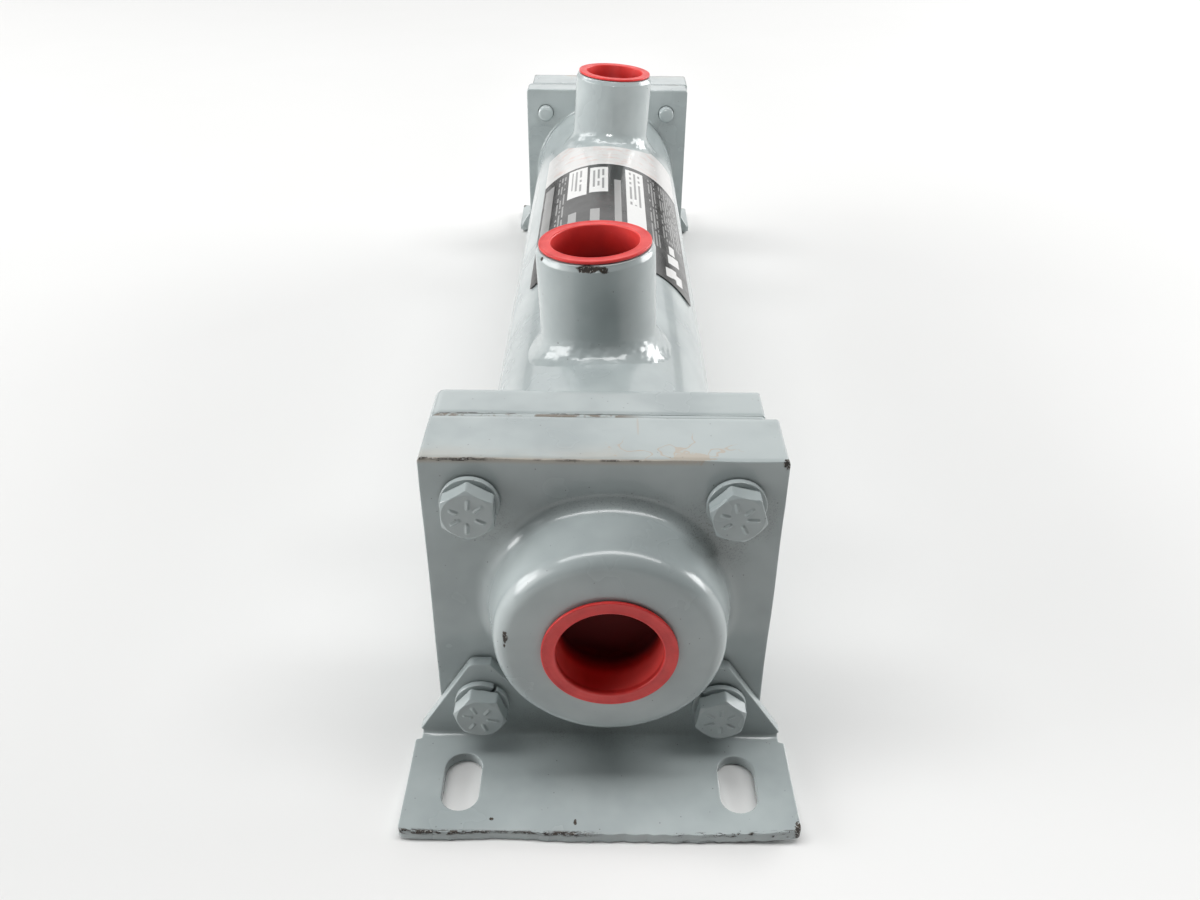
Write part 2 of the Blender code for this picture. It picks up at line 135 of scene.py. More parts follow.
def colour(label, description, default):
    """A colour that a user can change."""
    return FloatVectorProperty(
        name=label, description=description, default=default, subtype="COLOR", size=3, min=0, max=1
    )


def angle(label, description, degrees):
    """An angle that a user can change, given here in degrees."""
    return FloatProperty(name=label, description=description, default=math.radians(degrees), unit="ROTATION")


def power(label, description, watts):
    """The power of a light."""
    return FloatProperty(name=label, description=description, default=watts, unit="POWER")


class CoolerBonnet(bpy.types.PropertyGroup):
    boss_height: size("Boss height", "Height of the port boss over the flange face", 0.0182)
    boss_foot: size("Boss foot radius", "Where the boss's fillet meets the flange", 0.0352)
    boss_neck: size("Boss neck radius", "Radius just above the fillet", 0.0310)
    boss_rim: size("Boss rim radius", "Radius below the rounded rim", 0.0293)
    rim_round: size("Rim rounding", "How far the rim's rounding reaches inwards", 0.0044)
    rim_depth: size("Rim depth", "How far the rim's rounding reaches down the boss", 0.0054)
    flange_depth: size("Flange depth", "Thickness of the square flange", 0.0199)
    chamber: size("Chamber radius", "Radius of the water chamber behind the port", 0.0300)
    bore: size("Port bore radius", "Radius of the bore that takes the plug", 0.0147)
    bore_depth: size("Port bore depth", "Depth of the bore that takes the plug", 0.0165)
    throat: size("Throat radius", "Radius of the way behind the bore", 0.0115)
    cast_edge: size("Edge rounding", "Rounding of the flange's edges", 0.0003)
    wobble: size("Casting wobble", "How far the cast surface strays from true", 0.00005)


class CoolerPorts(bpy.types.PropertyGroup):
    coupling: size("Coupling radius", "Outer radius of an oil coupling", 0.0180)
    face: size("Face radius", "Outer radius of the coupling's flat face", 0.0173)
    chamfer: size("Chamfer height", "Height of the bevel under the face", 0.0016)
    top: size("Coupling height", "Face of the coupling above the shell's axis", 0.0647)
    weld: size("Weld radius", "Radius of the weld's toe about the port's axis", 0.0235)
    weld_height: size("Weld height", "How far the weld climbs the coupling", 0.0055)
    plug_rim: size("Plug rim radius", "Radius of the plug's flat rim", 0.0169)
    plug_rim_thick: size("Plug rim thickness", "Thickness of the plug's rim", 0.0009)
    plug_body: size("Plug body radius", "Radius of the plug under its rim", 0.0143)
    plug_cup: size("Plug cup radius", "Inside radius of the plug at its mouth", 0.0133)
    plug_length: size("Plug length", "Depth of the plug below its rim", 0.0145)
    plug_floor: size("Plug floor", "Thickness of the plug's closed end", 0.0014)
    plug_taper: size("Plug taper", "How much narrower the plug is at its end", 0.0004)
    seat_gap: size("Seat gap", "Clearance under a seated piece", 0.0003)


class CoolerBolts(bpy.types.PropertyGroup):
    flats: size("Across flats", "Width of the hexagon head across its flats", 0.0127)
    head: size("Head height", "Height of the hexagon head", 0.0047)
    shank: size("Shank radius", "Radius of the threaded shank", 0.00397)
    pitch: size("Thread pitch", "Distance between threads", 0.00141)
    mark_height: size("Mark height", "How far the grade marks stand out of the head", 0.00040)
    washer_bore: size("Washer bore", "Inner radius of the lock washer", 0.0043)
    washer_rise: size("Washer rise", "Step between the lock washer's two ends", 0.0004)


class CoolerBracket(bpy.types.PropertyGroup):
    plate: size("Plate thickness", "Thickness of the bent sheet", 0.0032)
    bend: size("Bend radius", "Inner radius of the bend", 0.0012)
    relief_in: size("Relief depth", "Depth of the side notches at the bend", 0.0016)
    relief_out: size("Relief reach", "Where the notches end in front of the flange face", 0.0062)
    ear_top: size("Ear top", "Top of the ears below the shell's axis", 0.0192)
    ear_low: size("Ear foot", "Lower end of the slanting edges below the axis", 0.0440)
    ear_half: size("Ear half width", "Half the width at the lower end of the slant", 0.0503)
    arch: size("Arch radius", "Radius of the cut-out round the boss", 0.0362)
    slot_out: size("Slot distance", "Slot centres in front of the flange face", 0.0205)
    slot_half: size("Slot half spacing", "Slot centres off the middle", 0.0368)
    slot_width: size("Slot width", "Width of a slot", 0.0099)
    slot_length: size("Slot length", "Length of a slot", 0.0188)
    lift: size("Corner lift", "How far one front corner is bent up", 0.0018)


class CoolerColours(bpy.types.PropertyGroup):
    paint: colour("Enamel", "Blue-grey enamel", (0.400, 0.445, 0.445))
    paint_deep: colour("Thick enamel", "Enamel where it lies thick", (0.330, 0.372, 0.375))
    chip: colour("Chip", "Primer and rusty iron in a chip", (0.045, 0.033, 0.023))
    stain: colour("Stain", "Old oil and rust wiped over the enamel", (0.42, 0.33, 0.24))
    dust: colour("Dust", "Dark specks that stick to the enamel", (0.11, 0.11, 0.10))
    red: colour("Plug red", "Red polyethylene", (0.70, 0.036, 0.031))
    ink: colour("Label ink", "Gloss black of the label", (0.019, 0.019, 0.018))
    blank: colour("Label blank", "White of the label's blocks", (0.67, 0.67, 0.66))
    grey: colour("Label grey", "Grey of the label's small bars", (0.36, 0.36, 0.355))


class CoolerStage(bpy.types.PropertyGroup):
    lens: FloatProperty(
        name="Lens", description="Focal length on a 36 mm wide sensor", default=30.655, unit="CAMERA",
    )
    eye: FloatVectorProperty(
        name="Eye", description="Where the camera stands", default=(-0.00075, -0.39931, 0.22557),
        subtype="TRANSLATION", unit="LENGTH",
    )
    pitch: angle("Pitch", "Camera below the horizon", 32.681)
    yaw: angle("Yaw", "Camera to the right of straight ahead", -0.046)
    roll: angle("Roll", "Camera turned about its own axis", 0.626)
    key: power("Key", "Power of the overhead light", 87.0)
    back: power("Back", "Power of the wall of light behind", 53.0)
    fill: power("Fill", "Power that each side light takes a share or a multiple of", 33.0)
    spot: power("Spot", "Power of the small light on the rear end", 19.0)
    sky: FloatProperty(name="Sky", description="Brightness of the room", default=0.01)
    backdrop: FloatProperty(
        name="Backdrop", description="How bright the pale backdrop looks past the floor", default=0.80,
    )


# ---------------------------------------------------------------- meshes

def linked(name, data):
    """A new object in the scene that shows this data."""
    made = bpy.data.objects.new(name, data)
    bpy.context.scene.collection.objects.link(made)
    return made


def solid(name, points, groups, sharp=40.0):
    """A closed mesh object from an array of points and arrays of faces, one array per face size.

    Coincident points are merged, which closes seams and poles. The signed volume, the sum over
    the faces' triangles of a . (b x c), tells which way the faces point, and they are turned
    when it is negative.
    """
    flat = [(g[:, [0, i, i + 1]]) for g in groups for i in range(1, g.shape[1] - 1)]
    corner = points[np.vstack(flat)]
    if np.einsum("ij,ij->", corner[:, 0], np.cross(corner[:, 1], corner[:, 2])) < 0:
        groups = [g[:, ::-1] for g in groups]
    counts = np.concatenate([np.full(len(g), g.shape[1]) for g in groups])
    corners = np.concatenate([g.ravel() for g in groups])
    mesh = bpy.data.meshes.new(name)
    mesh.vertices.add(len(points))
    mesh.vertices.foreach_set("co", points.astype(np.float32).ravel())
    mesh.loops.add(len(corners))
    mesh.loops.foreach_set("vertex_index", corners.astype(np.int32))
    mesh.polygons.add(len(counts))
    mesh.polygons.foreach_set("loop_start", np.concatenate([[0], counts.cumsum()[:-1]]).astype(np.int32))
    mesh.update(calc_edges=True)
    work = bmesh.new()
    work.from_mesh(mesh)
    bmesh.ops.remove_doubles(work, verts=work.verts, dist=1e-7)
    work.to_mesh(mesh)
    work.free()
    mesh.polygons.foreach_set("use_smooth", np.ones(len(mesh.polygons), bool))
    mesh.set_sharp_from_angle(angle=math.radians(sharp))
    return linked(name, mesh)


def skin(name, rings, closed_path=True, sharp=40.0):
    """A mesh over a grid of points, rings x places x 3: neighbours on the grid make a face.

    Every ring is closed; the path from ring to ring is closed too, or ends in poles.
    """
    rows, places = rings.shape[:2]
    index = np.arange(rows * places).reshape(rows, places)
    if closed_path:
        index = np.vstack([index, index[:1]])
    index = np.hstack([index, index[:, :1]])
    quads = np.stack([index[:-1, :-1], index[:-1, 1:], index[1:, 1:], index[1:, :-1]], -1)
    return solid(name, rings.reshape(-1, 3), [quads.reshape(-1, 4)], sharp)


def stretch(*corners, steps=4):
    """Points along straight stretches between corners, leaving out the very last one."""
    corners = np.array(corners, float)
    share = np.arange(steps)[:, None] / steps
    return np.vstack([a + (b - a) * share for a, b in zip(corners[:-1], corners[1:])])


def bow(centre, reach, start, stop, steps):
    """Points on an arc between two angles in degrees, both ends included.

    reach is the arc's radius, or the two half widths of an ellipse.
    """
    angle = np.radians(np.linspace(start, stop, steps + 1))
    return np.array(centre) + np.stack([np.cos(angle), np.sin(angle)], -1) * reach


def circle(centre, radius, places, clockwise=False):
    """Points on a whole circle, from its right, anticlockwise or clockwise."""
    angle = np.arange(places) * TURN / places * (-1 if clockwise else 1)
    return np.array(centre) + radius * np.stack([np.cos(angle), np.sin(angle)], -1)


def turned(profile, places):
    """Rings of a profile of (radius, height) turned about the third axis."""
    profile = np.asarray(profile, float)
    angle = np.arange(places) * TURN / places
    radius, height = profile[:, :1], profile[:, 1:]
    return np.stack([radius * np.cos(angle), radius * np.sin(angle), height * np.ones(places)], -1)


def lengthwise(profile, places, centre):
    """Rings of a profile of (radius, place along y) turned about a line along y through a centre."""
    rings = turned(profile, places)
    return np.stack([rings[..., 0], rings[..., 2], rings[..., 1]], -1) + centre


def rounded_outline(low, high, radii, run, inset=0.0):
    """A rectangle with a round at each corner, anticlockwise from the lower right.

    Each corner is a quarter circle of six steps about its own centre, and each side is cut in
    run steps. An inset moves every point straight inwards: the quarter circles lose that much radius.
    """
    signs = np.array([(1, -1), (1, 1), (-1, 1), (-1, -1)])
    corner = np.where(signs > 0, high, low)
    centres = corner - signs * np.array(radii)[:, None]
    arcs = [bow(c, r - inset, a, a + 90, 6) for c, r, a in zip(centres, radii, (-90, 0, 90, 180))]
    sides = [stretch(a[-1], b[0], steps=run)[1:] for a, b in zip(arcs, arcs[1:] + arcs[:1])]
    return np.vstack([part for pair in zip(arcs, sides) for part in pair])


def between(outline, eye, rows):
    """Rings that lie between a circle about eye and an outline, for plates with a round middle.

    A row holds a circle's radius, a share, an inset and a height. Its points lie at the share of
    the way from the circle to the outline, shrunk by the inset, along rays through the outline.
    """
    rim = outline(0.0) - eye
    angle = np.arctan2(rim[:, 1], rim[:, 0])
    unit = np.stack([np.cos(angle), np.sin(angle)], -1)
    rings = []
    for radius, share, inset, height in rows:
        flat = eye + (1 - share) * radius * unit + share * (outline(inset) - eye)
        rings.append(np.hstack([flat, np.full((len(flat), 1), height)]))
    return np.array(rings)


def ripple(points, wave, seed):
    """Smooth noise of about unit size: a sum of eight plane waves in seeded random directions."""
    random = np.random.default_rng(seed)
    total = np.zeros(points.shape[:-1])
    for _ in range(8):
        way = random.normal(size=3)
        way *= TURN / wave * random.uniform(0.6, 1.5) / np.linalg.norm(way)
        total += np.sin(points @ way + random.uniform(0, TURN))
    return total / 2


def strayed(points, amount, wave, seed):
    """Points moved on all three axes by separate ripples."""
    moves = np.stack([ripple(points, wave, seed + i) for i in range(3)], -1)
    return points + amount * moves


def loop_normals(loop):
    """Unit normals of a closed outline, to the right of its direction: away from the material."""
    ahead = np.roll(loop, -1, 0) - loop
    ahead /= np.linalg.norm(ahead, axis=1)[:, None]
    way = ahead + np.roll(ahead, 1, 0)
    way /= np.linalg.norm(way, axis=1)[:, None]
    return np.stack([way[:, 1], -way[:, 0]], -1)


def inside(points, loops):
    """Which points lie inside the outlines: a ray to the right crosses their edges an odd number of times."""
    start = np.vstack(loops)
    stop = np.vstack([np.roll(loop, -1, 0) for loop in loops])
    x, y = points[:, :1], points[:, 1:]
    spans = (start[:, 1] > y) != (stop[:, 1] > y)
    rise = np.where(stop[:, 1] == start[:, 1], 1.0, stop[:, 1] - start[:, 1])
    cross = start[:, 0] + (y - start[:, 1]) * (stop[:, 0] - start[:, 0]) / rise
    return (spans & (x < cross)).sum(1) % 2 == 1


def sheet_faces(loops, guides, spacing):
    """Points and triangles that fill flat outlines: the outlines, a row of guide points inside
    each, and a staggered grid of points, joined by a constrained Delaunay triangulation."""
    rims = np.vstack(loops)
    starts = np.cumsum([0] + [len(loop) for loop in loops])
    edges = np.vstack([
        np.stack([first + np.arange(len(loop)), first + (np.arange(len(loop)) + 1) % len(loop)], -1)
        for first, loop in zip(starts, loops)
    ])
    fixed = np.vstack([rims] + guides)
    low, high = rims.min(0), rims.max(0)
    counts = np.maximum(1, np.ceil((high - low) / spacing)).astype(int)
    grid = np.stack(np.meshgrid(*[np.linspace(a, b, n + 1) for a, b, n in zip(low, high, counts)]), -1)
    grid[1::2, :, 0] += spacing[0] / 2
    grid = grid.reshape(-1, 2)
    apart = np.linalg.norm((grid[:, None] - fixed[None]) / np.array(spacing), axis=2).min(1)
    extra = np.vstack(guides + [grid[apart > 0.45]])
    points = np.vstack([rims, extra[inside(extra, loops)]])
    made = delaunay_2d_cdt([Vector(p) for p in points], edges.tolist(), [], 0, 1e-9, True)
    if len(made[0]) != len(points):
        raise RuntimeError("outlines of a sheet cross or touch")
    triangles = np.array(made[2])
    triangles = triangles[inside(points[triangles].mean(1), loops)]
    a, b, c = (points[triangles[:, i]] for i in range(3))
    turn = (b - a)[:, 0] * (c - a)[:, 1] - (b - a)[:, 1] * (c - a)[:, 0]
    triangles[turn < 0] = triangles[turn < 0][:, ::-1]
    return points, triangles


def inner_guide(loop, normals, inset):
    """The outline moved inwards, without the points that a sharp corner brings too near its sides."""
    moved = loop - inset * normals
    near = np.linalg.norm(moved[:, None] - loop[None], axis=2).min(1)
    return moved[near > 0.96 * inset]


def sheet(name, outlines, thick, rim, spacing, place, support=0.45 * MM):
    """A sheet with holes and rounded edges, laid out flat in u, v and w and carried by a formula.

    outlines are closed: the outer one anticlockwise, holes clockwise. Both flat sides end rim
    inside the outline; from there a quarter circle turns over the edge to the straight wall
    and another back under. place turns the flat u, v, w into a place in the frame.
    """
    normals = [loop_normals(loop) for loop in outlines]
    flats = [loop - rim * n for loop, n in zip(outlines, normals)]
    guides = [inner_guide(loop, n, rim + support) for loop, n in zip(outlines, normals)]
    flat, triangles = sheet_faces(flats, guides, spacing)
    over = np.radians((0, 30, 60, 90))[1:]
    inset = np.concatenate([rim * (1 - np.sin(over)), [0], rim * (1 - np.sin(over))[::-1]])
    drop = thick / 2 - rim * (1 - np.cos(over))
    depth = np.concatenate([drop, [0], -drop[::-1]])
    half = thick / 2
    count = len(flat)
    points = [np.column_stack([flat, np.full(count, half)]), np.column_stack([flat, np.full(count, -half)])]
    faces = []
    first, total = 0, 2 * count
    for loop, normal in zip(outlines, normals):
        size = len(loop)
        rings = loop[None] - inset[:, None, None] * normal[None]
        depths = np.broadcast_to(depth[:, None, None], rings.shape[:2] + (1,))
        points.append(np.concatenate([rings, depths], -1).reshape(-1, 3))
        own = total + np.arange(len(inset) * size).reshape(-1, size)
        edge = first + np.arange(size)
        index = np.vstack([edge, own, edge + count])
        index = np.hstack([index, index[:, :1]])
        quads = np.stack([index[:-1, 1:], index[:-1, :-1], index[1:, :-1], index[1:, 1:]], -1)
        faces.append(quads.reshape(-1, 4))
        first += size
        total += own.size
    groups = [np.vstack([triangles, triangles[:, ::-1] + count]), np.vstack(faces)]
    return solid(name, place(np.vstack(points)), groups, 50)


def cut(target, cutters):
    """Takes cutters' shapes out of a piece and keeps the finished mesh, with no modifier left."""
    for cutter in cutters:
        mod = target.modifiers.new("Cut", "BOOLEAN")
        mod.operation, mod.solver, mod.object = "DIFFERENCE", "EXACT", cutter
    graph = bpy.context.evaluated_depsgraph_get()
    finished = bpy.data.meshes.new_from_object(target.evaluated_get(graph))
    target.modifiers.clear()
    finished.name = target.name
    target.data = finished
    for cutter in cutters:
        bpy.data.objects.remove(cutter, do_unlink=True)
    target.data.set_sharp_from_angle(angle=math.radians(40))
    return target


def rod(name, place, radius, low, high, places=48):
    """A plain cylinder for cutting, along the third axis of place's coordinates."""
    profile = [(0, low), (radius, low), (radius, high), (0, high)]
    return skin(name, place(turned(profile, places)), closed_path=False)


def finish_piece(piece, node, slot, *materials, body=BODY):
    """Gives a piece its materials and its body, and hides the CAD node that it stands for; slot is not used.
    """
    for material in materials:
        piece.data.materials.append(material)
    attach(piece, body)
    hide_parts(node)
    return piece


# ---------------------------------------------------------------- finishes

class Finish:
    """A material in the making. Each method adds a node and gives its output socket."""

    def __init__(self, name):
        """Starts a material of this name, with the piece's own coordinates in millimetres."""
        self.material = bpy.data.materials.new(name)
        self.material.use_nodes = True
        self.tree = self.material.node_tree
        self.shader = self.tree.nodes["Principled BSDF"]
        coordinates = self.add("ShaderNodeTexCoord").outputs["Object"]
        self.mm = self.vector("SCALE", coordinates, scale=1 / MM)

    def add(self, kind, **settings):
        """A new node with some of its settings changed."""
        node = self.tree.nodes.new(kind)
        for key, value in settings.items():
            setattr(node, key, value)
        return node

    def put(self, value, socket):
        """Links a socket, or sets a plain number or colour."""
        if isinstance(value, bpy.types.NodeSocket):
            self.tree.links.new(value, socket)
        elif hasattr(value, "__len__") and len(value) == 3 and socket.type == "RGBA":
            socket.default_value = (*value, 1.0)
        else:
            socket.default_value = value

    def vector(self, operation, a, b=None, scale=None):
        """A sum on one or two vectors."""
        node = self.add("ShaderNodeVectorMath", operation=operation)
        self.put(a, node.inputs[0])
        if b is not None:
            self.put(b, node.inputs[1])
        if scale is not None:
            node.inputs["Scale"].default_value = scale
        return node.outputs["Value" if operation in ("LENGTH", "DOT_PRODUCT", "DISTANCE") else "Vector"]

    def math(self, operation, a, b=0.0, c=0.0):
        """A sum on up to three numbers."""
        node = self.add("ShaderNodeMath", operation=operation)
        for value, socket in zip((a, b, c), node.inputs):
            self.put(value, socket)
        return node.outputs[0]

    def split(self, vector):
        """A vector's x, y and z."""
        node = self.add("ShaderNodeSeparateXYZ")
        self.put(vector, node.inputs[0])
        return node.outputs

    def noise(self, grain, detail=2.0, rough=0.5, vector=None, twist=0.0):
        """Noise whose features are about grain millimetres wide."""
        node = self.add("ShaderNodeTexNoise")
        self.put(vector or self.mm, node.inputs["Vector"])
        node.inputs["Scale"].default_value = 1 / grain
        node.inputs["Detail"].default_value = detail
        node.inputs["Roughness"].default_value = rough
        node.inputs["Distortion"].default_value = twist
        return node.outputs["Fac"]

    def cells(self, grain):
        """Distance to the nearest of scattered points about grain millimetres apart."""
        node = self.add("ShaderNodeTexVoronoi")
        self.put(self.mm, node.inputs["Vector"])
        node.inputs["Scale"].default_value = 1 / grain
        return node.outputs["Distance"]

    def fade(self, value, start, stop, low=0.0, high=1.0):
        """A smooth step: low up to start, high from stop on."""
        node = self.add("ShaderNodeMapRange", interpolation_type="SMOOTHSTEP")
        for item, socket in zip((value, start, stop, low, high), node.inputs):
            self.put(item, socket)
        return node.outputs[0]

    def band(self, value, place, start, stop):
        """1 where a value is within stop of a place, fading to 0 where it is start away."""
        return self.fade(self.math("ABSOLUTE", self.math("SUBTRACT", value, place)), start, stop)

    def most(self, *values):
        """The largest of several values."""
        total = values[0]
        for value in values[1:]:
            total = self.math("MAXIMUM", total, value)
        return total

    def times(self, *values):
        """Several values multiplied together."""
        total = values[0]
        for value in values[1:]:
            total = self.math("MULTIPLY", total, value)
        return total

    def mix(self, share, a, b):
        """The first colour at a share of 0 and the second at 1."""
        node = self.add("ShaderNodeMix", data_type="RGBA")
        for value, socket in zip((share, a, b), (node.inputs[0], node.inputs[6], node.inputs[7])):
            self.put(value, socket)
        return node.outputs[2]

    def squashed(self, factors):
        """The piece's coordinates with each axis stretched by its own factor."""
        return self.vector("MULTIPLY", self.mm, factors)

    def bump(self, height, distance, below=None):
        """Relief as high as height times a distance in metres, laid on the relief below it."""
        node = self.add("ShaderNodeBump")
        node.inputs["Strength"].default_value = 1.0
        node.inputs["Distance"].default_value = distance
        self.put(height, node.inputs["Height"])
        if below is not None:
            self.put(below, node.inputs["Normal"])
        return node.outputs[0]

    def blot(self, centre, reach, ragged=0.35, grain=1.2, soft=0.18):
        """A patch round a place in metres that reaches some millimetres along each axis.

        Noise of this grain makes its outline ragged, and it fades over the outer share soft.
        """
        away = self.vector("SUBTRACT", self.mm, tuple(np.array(centre) / MM))
        far = self.vector("LENGTH", self.vector("DIVIDE", away, reach))
        torn = self.math("SUBTRACT", self.noise(grain, 3.0, 0.6), 0.5)
        far = self.math("MULTIPLY_ADD", torn, 2 * ragged, far)
        return self.fade(far, 1.0, 1.0 - soft)

    def box_edge(self, low, high):
        """Distance in millimetres to the nearest edge of a box.

        It is the middle one of the distances to the box's three pairs of faces.
        """
        centre, half = (np.array(low) + np.array(high)) / 2, (np.array(high) - np.array(low)) / 2
        away = self.vector("ABSOLUTE", self.vector("SUBTRACT", self.mm, tuple(centre / MM)))
        depth = self.split(self.vector("ABSOLUTE", self.vector("SUBTRACT", away, tuple(half / MM))))
        nearest = self.math("MINIMUM", depth[0], depth[1])
        other = self.math("MAXIMUM", depth[0], depth[1])
        return self.math("MAXIMUM", nearest, self.math("MINIMUM", other, depth[2]))

    def done(self, colour, roughness, normal=None, **constants):
        """Joins the finish to the shader, sets the shader's constants, and gives the material."""
        self.put(colour, self.shader.inputs["Base Color"])
        self.put(roughness, self.shader.inputs["Roughness"])
        if normal is not None:
            self.put(normal, self.shader.inputs["Normal"])
        for key, value in constants.items():
            self.shader.inputs[key.replace("_", " ")].default_value = value
        return self.material


def enamel(name, chips=None, stains=None, dust=None, edge=None, lumps=0.4, peel=0.014):
    """Glossy sprayed enamel: tone that drifts with thickness, orange peel, slow waves, fine nibs,
    stuck dust, and the chips, stains and dusty places that a piece asks for.

    chips, stains and dust are functions of the finish that give a mask; edge is a box whose
    edges are worn through in places; lumps is the strength of the waves, and peel the height of
    the orange peel in millimetres.
    """
    tints = bpy.context.scene.cooler_colours
    make = Finish(name)
    drift = make.noise(22, 3)
    cloud = make.noise(5.5, 2)
    base = make.mix(make.fade(drift, 0.35, 0.7), tuple(tints.paint), tuple(tints.paint_deep))
    base = make.mix(make.fade(cloud, 0.35, 0.85, 0, 0.06), base, tuple(tints.paint_deep))
    grime = make.times(make.fade(make.cells(2.6), 0.09, 0.045), make.fade(make.noise(9, 1), 0.42, 0.54))
    if dust:
        dusty = dust(make)
        grit = make.fade(make.noise(0.42, 3, 0.75), 0.53, 0.63)
        grime = make.most(grime, make.times(grit, dusty, 0.8))
        base = make.mix(make.times(dusty, 0.22), base, tuple(tints.dust))
    if stains:
        base = make.mix(stains(make), base, tuple(tints.stain))
    base = make.mix(make.times(grime, 0.8), base, tuple(tints.dust))
    bare = None
    if edge:
        near = make.fade(make.box_edge(*edge), 1.0, 0.15)
        torn = make.fade(make.noise(2.4, 4, 0.7), 0.62, 0.67)
        bare = make.times(near, torn)
    if chips:
        bare = chips(make) if bare is None else make.most(bare, chips(make))
    roughness = make.fade(drift, 0.25, 0.8, 0.21, 0.29)
    roughness = make.math("MAXIMUM", roughness, make.times(grime, 0.6))
    if bare is not None:
        old_rust, bare_iron = (0.018, 0.016, 0.014), (0.42, 0.42, 0.40)
        rust = make.mix(make.fade(make.noise(0.9, 4, 0.7), 0.4, 0.6), tuple(tints.chip), old_rust)
        rust = make.mix(make.fade(make.noise(0.5, 2, 0.6), 0.60, 0.66), rust, bare_iron)
        base = make.mix(bare, base, rust)
        roughness = make.math("MAXIMUM", roughness, make.times(bare, 0.85))
    waves = make.bump(make.noise(14, 1), lumps * 0.30 * MM)
    skinned = make.bump(make.noise(1.7, 1), peel * MM, waves)
    nibs = make.bump(make.fade(make.cells(6.3), 0.10, 0.02), 2 * peel * MM, skinned)
    top = nibs if bare is None else make.bump(make.math("SUBTRACT", 1.0, bare), 0.12 * MM, nibs)
    return make.done(base, roughness, top, Specular_IOR_Level=0.5, Coat_Weight=0.35, Coat_Roughness=0.06)


def red_plastic():
    """Moulded polyethylene: waxy red, a little light through it, with scuffs and specks.

    The attribute cup_depth tells how deep a point lies in the plug's cup. The wall near the mouth
    is painted brighter, a painted highlight, and the cup is painted darker further down, a painted shade
    that is nearly black at the bottom of the cup.
    """
    tints = bpy.context.scene.cooler_colours
    make = Finish("red_polyethylene")
    cloud = make.noise(6, 3)
    scuff = make.fade(make.noise(1.1, 5, 0.75, make.squashed((1, 0.25, 1))), 0.58, 0.74)
    base = make.mix(make.fade(cloud, 0.3, 0.8), tuple(tints.red), (0.56, 0.022, 0.022))
    base = make.mix(make.times(scuff, 0.22), base, (0.80, 0.22, 0.19))
    dark = make.fade(make.cells(2.3), 0.06, 0.02)
    base = make.mix(make.times(dark, 0.5), base, (0.12, 0.01, 0.01))
    # cup_depth sets where light and shade are painted into the cup's colour.
    depth = make.add("ShaderNodeAttribute", attribute_name="cup_depth").outputs["Fac"]
    # mouth: a painted highlight, the wall near the cup's mouth painted a brighter red as if lit.
    mouth = make.times(make.fade(depth, 0.01, 0.05), make.fade(depth, 0.63, 0.38))
    base = make.mix(mouth, base, (0.93, 0.10, 0.09))
    # gloom: painted shade, the colour darkened to nearly black deeper in the cup.
    gloom = make.fade(depth, 0.46, 0.88)
    base = make.mix(gloom, base, (0.085, 0.0045, 0.0042))
    roughness = make.math("MULTIPLY_ADD", scuff, 0.22, make.fade(cloud, 0.3, 0.8, 0.34, 0.44))
    roughness = make.math("MAXIMUM", roughness, make.times(gloom, 0.9))
    grain = make.bump(make.noise(0.6, 2), 0.03 * MM)
    soft = make.bump(make.noise(7, 1), 0.16 * MM, grain)
    return make.done(
        base, roughness, soft, Subsurface_Weight=0.08, Subsurface_Radius=(0.004, 0.0008, 0.0006),
        Subsurface_Scale=0.5, Specular_IOR_Level=0.50,
    )


def drawn_metal(name, bright, dull, along, shine):
    """Bare metal with fine lines along one axis, a slow tarnish and small dark spots."""
    make = Finish(name)
    lines = make.noise(2.2, 3, 0.6, make.squashed([0.12 if axis == along else 6.0 for axis in range(3)]))
    tarnish = make.noise(9, 4, 0.6)
    base = make.mix(make.fade(tarnish, 0.35, 0.72), bright, dull)
    spots = make.times(make.fade(make.cells(4.2), 0.07, 0.03), 0.6)
    base = make.mix(spots, base, tuple(0.3 * np.array(dull)))
    roughness = make.math("MULTIPLY_ADD", lines, 0.22, make.fade(tarnish, 0.3, 0.8, shine, shine + 0.2))
    scratch = make.bump(lines, 0.03 * MM)
    return make.done(base, roughness, scratch, Metallic=1.0)


def machined_metal(name, bright, dull, shine):
    """Faced metal: rings left by a lathe tool about the shell's axis, and a slow tarnish."""
    make = Finish(name)
    x, _, z = make.split(make.vector("SUBTRACT", make.mm, tuple(AXIS / MM)))
    radius = make.math("SQRT", make.math("MULTIPLY_ADD", x, x, make.times(z, z)))
    rings = make.math("SINE", make.math("MULTIPLY_ADD", make.noise(7, 2), 1.6, make.times(radius, 21.0)))
    tarnish = make.noise(8, 4, 0.6)
    base = make.mix(make.fade(tarnish, 0.35, 0.7), bright, dull)
    roughness = make.math("MULTIPLY_ADD", rings, 0.04, make.fade(tarnish, 0.3, 0.8, shine, shine + 0.18))
    return make.done(base, roughness, make.bump(rings, 0.012 * MM), Metallic=1.0)


